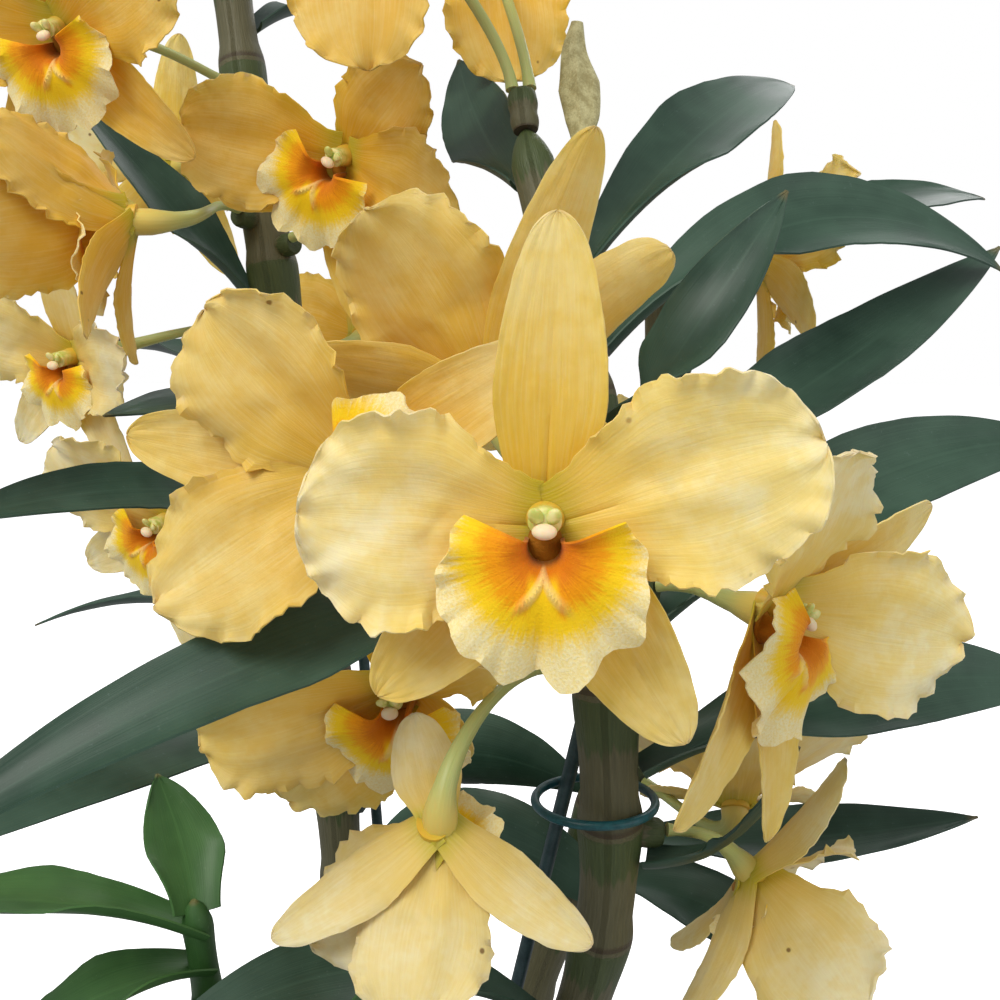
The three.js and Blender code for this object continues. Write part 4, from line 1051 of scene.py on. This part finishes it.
def petal_material(name, light, full, gold):
    """Petal tissue that pales from gold at its foot to a light margin, with a few dark specks. The
    gold's reach over the inner half is partly painted shade.
    """
    s = Shader(name, 0.55, 0.28, Subsurface_Weight=0.3, Subsurface_Scale=0.004,
               Subsurface_Radius=(1.0, 0.62, 0.2), Sheen_Weight=0.05, Sheen_Roughness=0.4)
    t, across, seed = s.place()
    veins = s.noise(s.join(s.times(across, 9.0), s.times(t, 1.3), seed), 2.4, 3.0, 0.55)
    fine = s.noise(s.join(s.times(across, 30.0), s.times(t, 3.0), seed), 2.0)
    broad = s.noise(s.spot(), 60.0)
    crinkle = s.noise(s.spot(), 420.0, 3.0, 0.6)
    mottle = s.noise(s.spot(), 170.0, 3.0, 0.65)
    outer = s.mix(s.ramp(broad, 0.35, 0.65), full, light)
    outer = s.mix(s.times(s.ramp(mottle, 0.62, 0.36), 0.38), outer, gold)
    outer = s.mix(s.times(s.ramp(mottle, 0.46, 0.72), 0.4), outer, light)
    inner = s.mix(s.ramp(t, 0.02, 0.2), PETAL_FOOT, gold)
    uneven = s.add(s.times(veins, 0.16), s.times(mottle, 0.2))
    # The gold spreads far over the inner half: partly the tissue's own colour, partly painted shade for
    # the shaded hollow of the bloom.
    body = s.mix(s.ramp(s.add(t, uneven), 0.3, 1.08), inner, outer)
    body = s.mix(s.times(s.ramp(veins, 0.42, 0.68), 0.1), body, VEIN_LIGHT)
    body = s.mix(s.times(s.ramp(fine, 0.58, 0.3), 0.08), body, VEIN_SHADE)
    distance, chance = s.cells(s.spot(), 260.0)
    speck = s.times(s.ramp(distance, 0.16, 0.07), s.ramp(chance, 0.962, 0.975))
    body = s.mix(s.times(speck, 0.85), body, PETAL_SPECK)
    relief = s.add(s.times(fine, 0.2), s.times(crinkle, 0.7))
    s.bump(s.add(s.times(veins, 0.4), relief), 0.28, 0.6)
    return s.colour(body)


def lip_material():
    """A velvet lip: an orange heart, brightest yellow round it, a pale margin, and a dark brown well,
    its darkness partly painted shade in the throat.
    """
    s = Shader("lip_tissue", 0.7, 0.2, Subsurface_Weight=0.2, Subsurface_Scale=0.003,
               Subsurface_Radius=(1.0, 0.6, 0.2), Sheen_Weight=0.1, Sheen_Roughness=0.45)
    out, angle, depth = s.place()
    streak = s.noise(s.join(s.times(angle, 9.0), s.times(out, 0.8)), 2.4, 3.0, 0.6)
    fuzz = s.noise(s.spot(), 2600.0, 2.0, 0.6)
    away = s.math("ABSOLUTE", angle)
    reach = s.add(out, s.times(s.add(streak, -0.5), 0.5))
    reach = s.add(reach, s.times(s.add(fuzz, -0.5), 0.16))
    pale = s.mix(s.ramp(fuzz, 0.3, 0.75), *LIP_MARGIN)
    yellow = s.mix(s.ramp(reach, 1.0, 1.38), LIP_YELLOW, pale)
    orange = s.mix(s.ramp(reach, 0.66, 0.98), LIP_ORANGE, yellow)
    orange = s.mix(s.ramp(reach, 0.66, 0.4), orange, LIP_HEART)
    heart = s.times(s.ramp(s.times(away, out), 0.26, 0.14), s.ramp(out, 0.3, 0.5))
    gold = s.mix(s.ramp(reach, 0.95, 1.5), LIP_GOLD, pale)
    body = s.mix(heart, orange, gold)
    crest = s.math("ABSOLUTE", s.add(s.add(out, s.times(away, -1.1)), -0.30))
    ridge = s.times(s.ramp(crest, 0.2, 0.0), s.ramp(away, 0.52, 0.2))
    body = s.mix(s.times(ridge, s.add(0.3, s.times(fuzz, 0.7))), body, LIP_CREST)
    # The throat darkens to brown: a brownish tone deepened as painted shade inside the tube.
    body = s.mix(s.ramp(depth, 0.3, 0.1), body, LIP_WELL_SHADED_BROWN)
    s.bump(s.add(s.times(fuzz, 0.6), s.times(streak, 0.5)), 0.3, 0.7)
    return s.colour(body)


def column_material():
    s = Shader("column_tissue", 0.45, 0.4, Subsurface_Weight=0.25, Subsurface_Scale=0.003)
    noise = s.noise(s.spot(), 700.0)
    body = s.mix(s.ramp(noise, 0.35, 0.65), (0.55, 0.60, 0.13), (0.82, 0.76, 0.32))
    share, _, _ = s.place()
    body = s.mix(s.ramp(share, 0.35, 0.8), (0.72, 0.44, 0.04), body)
    s.bump(noise, 0.15, 0.5)
    return s.colour(body)


def cap_material():
    s = Shader("anther_cap", 0.5, 0.4, Subsurface_Weight=0.3, Subsurface_Scale=0.003)
    noise = s.noise(s.spot(), 900.0)
    s.bump(noise, 0.12, 0.5)
    return s.colour(s.mix(noise, (0.86, 0.62, 0.36), (0.95, 0.80, 0.55)))


def stalk_material():
    s = Shader("stalk_tissue", 0.42, 0.4, Subsurface_Weight=0.2, Subsurface_Scale=0.002)
    share, around, _ = s.place()
    streak = s.noise(s.join(s.times(around, 3.0), s.times(share, 2.0)), 2.0)
    green = s.mix(streak, (0.36, 0.42, 0.12), (0.55, 0.58, 0.22))
    s.bump(streak, 0.15, 0.5)
    return s.colour(s.mix(s.ramp(share, 0.25, 0.02), green, (0.74, 0.56, 0.12)))


def leaf_material(name, dark, light, sheen):
    """Leaf tissue: broad patches, fine veins, a light midrib, a dry tip, and fine bluish grey specks
    that are partly dust, partly painted sheen.
    """
    s = Shader(name, 0.42, 0.4, Coat_Weight=0.1, Coat_Roughness=0.3)
    t, across, seed = s.place()
    veins = s.noise(s.join(s.times(across, 16.0), s.times(t, 0.9), seed), 2.6)
    broad = s.noise(s.spot(), 45.0, 3.0, 0.6)
    both = s.add(s.times(veins, 0.18), s.times(broad, 0.82))
    body = s.mix(s.ramp(both, 0.3, 0.72), dark, light)
    middle = s.ramp(s.math("ABSOLUTE", across), 0.07, 0.0)
    body = s.mix(s.times(middle, 0.45), body, light)
    body = s.mix(s.times(s.ramp(t, 0.965, 0.995), 0.6), body, LEAF_TIP)
    # Fine specks in the sheen colour: a little dust, and a painted sheen.
    dust_and_sheen = s.ramp(s.noise(s.spot(), 900.0, 3.0, 0.7), 0.62, 0.8)
    body = s.mix(s.times(dust_and_sheen, 0.25), body, sheen)
    s.put(s.main.inputs["Roughness"], s.node("ShaderNodeMapRange", inputs={
        "Value": broad, "From Min": 0.3, "From Max": 0.7, "To Min": 0.46, "To Max": 0.6}))
    s.bump(s.add(s.times(veins, 0.45), s.times(broad, 0.5)), 0.22, 0.5)
    return s.colour(body)


def cane_material():
    """Cane tissue: a dry sheath with a ragged edge, green above it and a dark ring at each joint."""
    s = Shader("cane_tissue", 0.5, 0.4)
    past, around, joint = s.place()
    streak = s.noise(s.join(s.times(around, 5.0), s.times(past, 1.6), joint), 2.4, 3.0, 0.6)
    green = s.mix(streak, (0.028, 0.045, 0.012), (0.085, 0.115, 0.035))
    straw = s.mix(streak, (0.06, 0.06, 0.025), (0.15, 0.14, 0.07))
    edge = s.noise(s.join(s.times(around, 1.3), joint), 2.0)
    body = s.mix(s.ramp(s.add(past, s.times(edge, 0.7)), 1.0, 0.93), green, straw)
    body = s.mix(s.ramp(past, 0.06, 0.02), body, (0.06, 0.045, 0.02))
    s.bump(streak, 0.35, 0.7)
    return s.colour(body)


def plain_material(name, dark, light, roughness, scale, depth):
    """A moulded, dry or rough surface: two tones and relief from one noise."""
    s = Shader(name, roughness, 0.4)
    coarse = s.noise(s.spot(), scale, 4.0, 0.65)
    fine = s.noise(s.spot(), scale * 7, 3.0, 0.6)
    both = s.add(s.times(coarse, 0.7), s.times(fine, 0.3))
    s.bump(both, depth, 0.8)
    return s.colour(s.mix(s.ramp(both, 0.36, 0.64), dark, light))


def bark_material():
    s = Shader("bark_chips", 0.88, 0.25)
    own, _, _ = s.place()
    grain = s.noise(s.spot(), 420.0, 5.0, 0.7)
    tone = s.mix(own, (0.10, 0.05, 0.025), (0.26, 0.15, 0.08))
    body = s.mix(s.ramp(grain, 0.35, 0.7), s.mix(0.5, tone, (0.04, 0.02, 0.012)), tone)
    s.bump(grain, 1.0, 0.9)
    return s.colour(body)


# ---------- light, floor and camera

CAMERA_AT, CAMERA_PITCH = (0.022, -0.252, 0.320), 82
CAMERA_LENS, CAMERA_FILM = 40, 36

# Soft lights: place, aim, size, watts, colour and share of their shine.
LIGHTS = {
    "key": ((-0.7, -1.0, 1.5), (0, 0, 0.3), 0.9, 22, (1.0, 0.97, 0.91), 1.0),
    "fill": ((1.2, -0.9, 0.7), (0, 0, 0.3), 1.2, 5, (1, 1, 1), 1.0),
    "rim": ((0.6, 1.2, 1.3), (0, 0, 0.32), 0.9, 8, (1, 1, 1), 0.3),
}
SKY, BACKDROP = (0.43, 0.43, 0.45, 1), (1.0, 1.0, 1.0, 1)
FLOOR_RADIUS, FLOOR_DROP, FLOOR_GLOW = 9, 0.0006, 0.75


def make_camera():
    data = bpy.data.cameras.new("camera")
    data.lens, data.sensor_width, data.clip_start = CAMERA_LENS, CAMERA_FILM, 0.01
    camera = stand("camera", data, CAMERA_AT, (math.radians(CAMERA_PITCH), 0, 0))
    bpy.context.scene.camera = camera


def area_light(name, at, towards, size, watts, colour, shine):
    data = bpy.data.lights.new(name, "AREA")
    data.energy, data.size, data.color, data.specular_factor = watts, size, colour, shine
    stand(name, data, at, aimed(at, towards))


def aimed(at, towards):
    """Euler angles that point an object's -Z from one place to another."""
    x, y, z = vec(towards) - vec(at)
    return (math.atan2(math.hypot(x, y), -z), 0, math.atan2(-x, y))


def make_light():
    """A grey sky that looks white to the camera, and three soft lights."""
    world = bpy.data.worlds.new("studio")
    world.use_nodes = True
    nodes, links = world.node_tree.nodes, world.node_tree.links
    path = nodes.new("ShaderNodeLightPath")
    mix = nodes.new("ShaderNodeMix")
    mix.data_type = "RGBA"
    mix.inputs[6].default_value, mix.inputs[7].default_value = SKY, BACKDROP
    links.new(path.outputs["Is Camera Ray"], mix.inputs[0])
    links.new(mix.outputs[2], nodes["Background"].inputs["Color"])
    bpy.context.scene.world = world
    for name, settings in LIGHTS.items():
        area_light(name, *settings)
    bpy.context.scene.view_settings.view_transform = "Standard"
    bpy.context.scene.view_settings.look = "None"


def make_floor():
    bpy.ops.mesh.primitive_circle_add(vertices=128, radius=FLOOR_RADIUS, fill_type="NGON",
                                      location=(0, 0, -FLOOR_DROP))
    floor = bpy.context.object
    floor.name = "floor"
    floor.visible_diffuse = False
    floor.visible_glossy = False
    s = Shader("pale_floor", 0.9, 0.1, Emission_Strength=FLOOR_GLOW, Emission_Color=(1, 1, 1, 1))
    floor.data.materials.append(s.colour((0.93, 0.93, 0.93, 1)))


# ---------- the whole plant


def make_blooms():
    shared = [lip_material(), column_material(), stalk_material(), cap_material()]
    tissues = {name: petal_material(name, *tones) for name, tones in TISSUES.items()}
    for k, (name, bloom) in enumerate(BLOOMS.items()):
        # The tint picks a lit or a shaded copy of the petal tissue: painted light over some real tone.
        tint = bloom.get("tint", "plain")
        petals = tissues[f"petal_{tint}"]
        sepals = tissues["sepal_gold"] if tint == "lit_cream" else petals
        bloom_piece(name, k).make(name, [petals, *shared, sepals], "bloom")


def make_green_parts():
    leaf = leaf_material("mature_leaf", (0.013, 0.042, 0.024), (0.043, 0.096, 0.061),
                         (0.17, 0.24, 0.23))
    young = leaf_material("young_leaf", (0.025, 0.085, 0.018), (0.06, 0.165, 0.04),
                          (0.18, 0.28, 0.15))
    cane = cane_material()
    for n, row in enumerate(LEAVES):
        leaf_piece(row, n * 0.37).make(f"leaf_{n + 1:02d}", [leaf], "leaf")
    for name in CANES:
        cane_piece(name).make(f"cane_{name}", [cane], "cane")
    shoot_piece().make("young_growth", [young], "leaf")


def make_supports():
    stick = plain_material("coated_stick", (0.02, 0.05, 0.055), (0.04, 0.085, 0.09), 0.45, 300.0, 0.1)
    wire = plain_material("coated_wire", (0.004, 0.055, 0.065), (0.012, 0.10, 0.115), 0.35, 500.0, 0.05)
    for name in STICKS:
        stick_piece(name).make(f"stick_{name}", [stick], "stick")
        clip_piece(name).make(f"clip_{name}", [wire], "clip")


def main():
    make_camera()
    make_light()
    make_floor()
    make_blooms()
    make_green_parts()
    make_supports()
    dry = plain_material("dry_bud", (0.36, 0.31, 0.13), (0.62, 0.58, 0.30), 0.7, 380.0, 0.5)
    bud_piece().make("withered_bud", [dry], "dry_bud")
    black = plain_material("pot_plastic", (0.014, 0.015, 0.016), (0.03, 0.031, 0.033), 0.5, 900.0, 0.08)
    make_pot(black)
    bark_piece().make("bark", [bark_material()], "bark")


main()
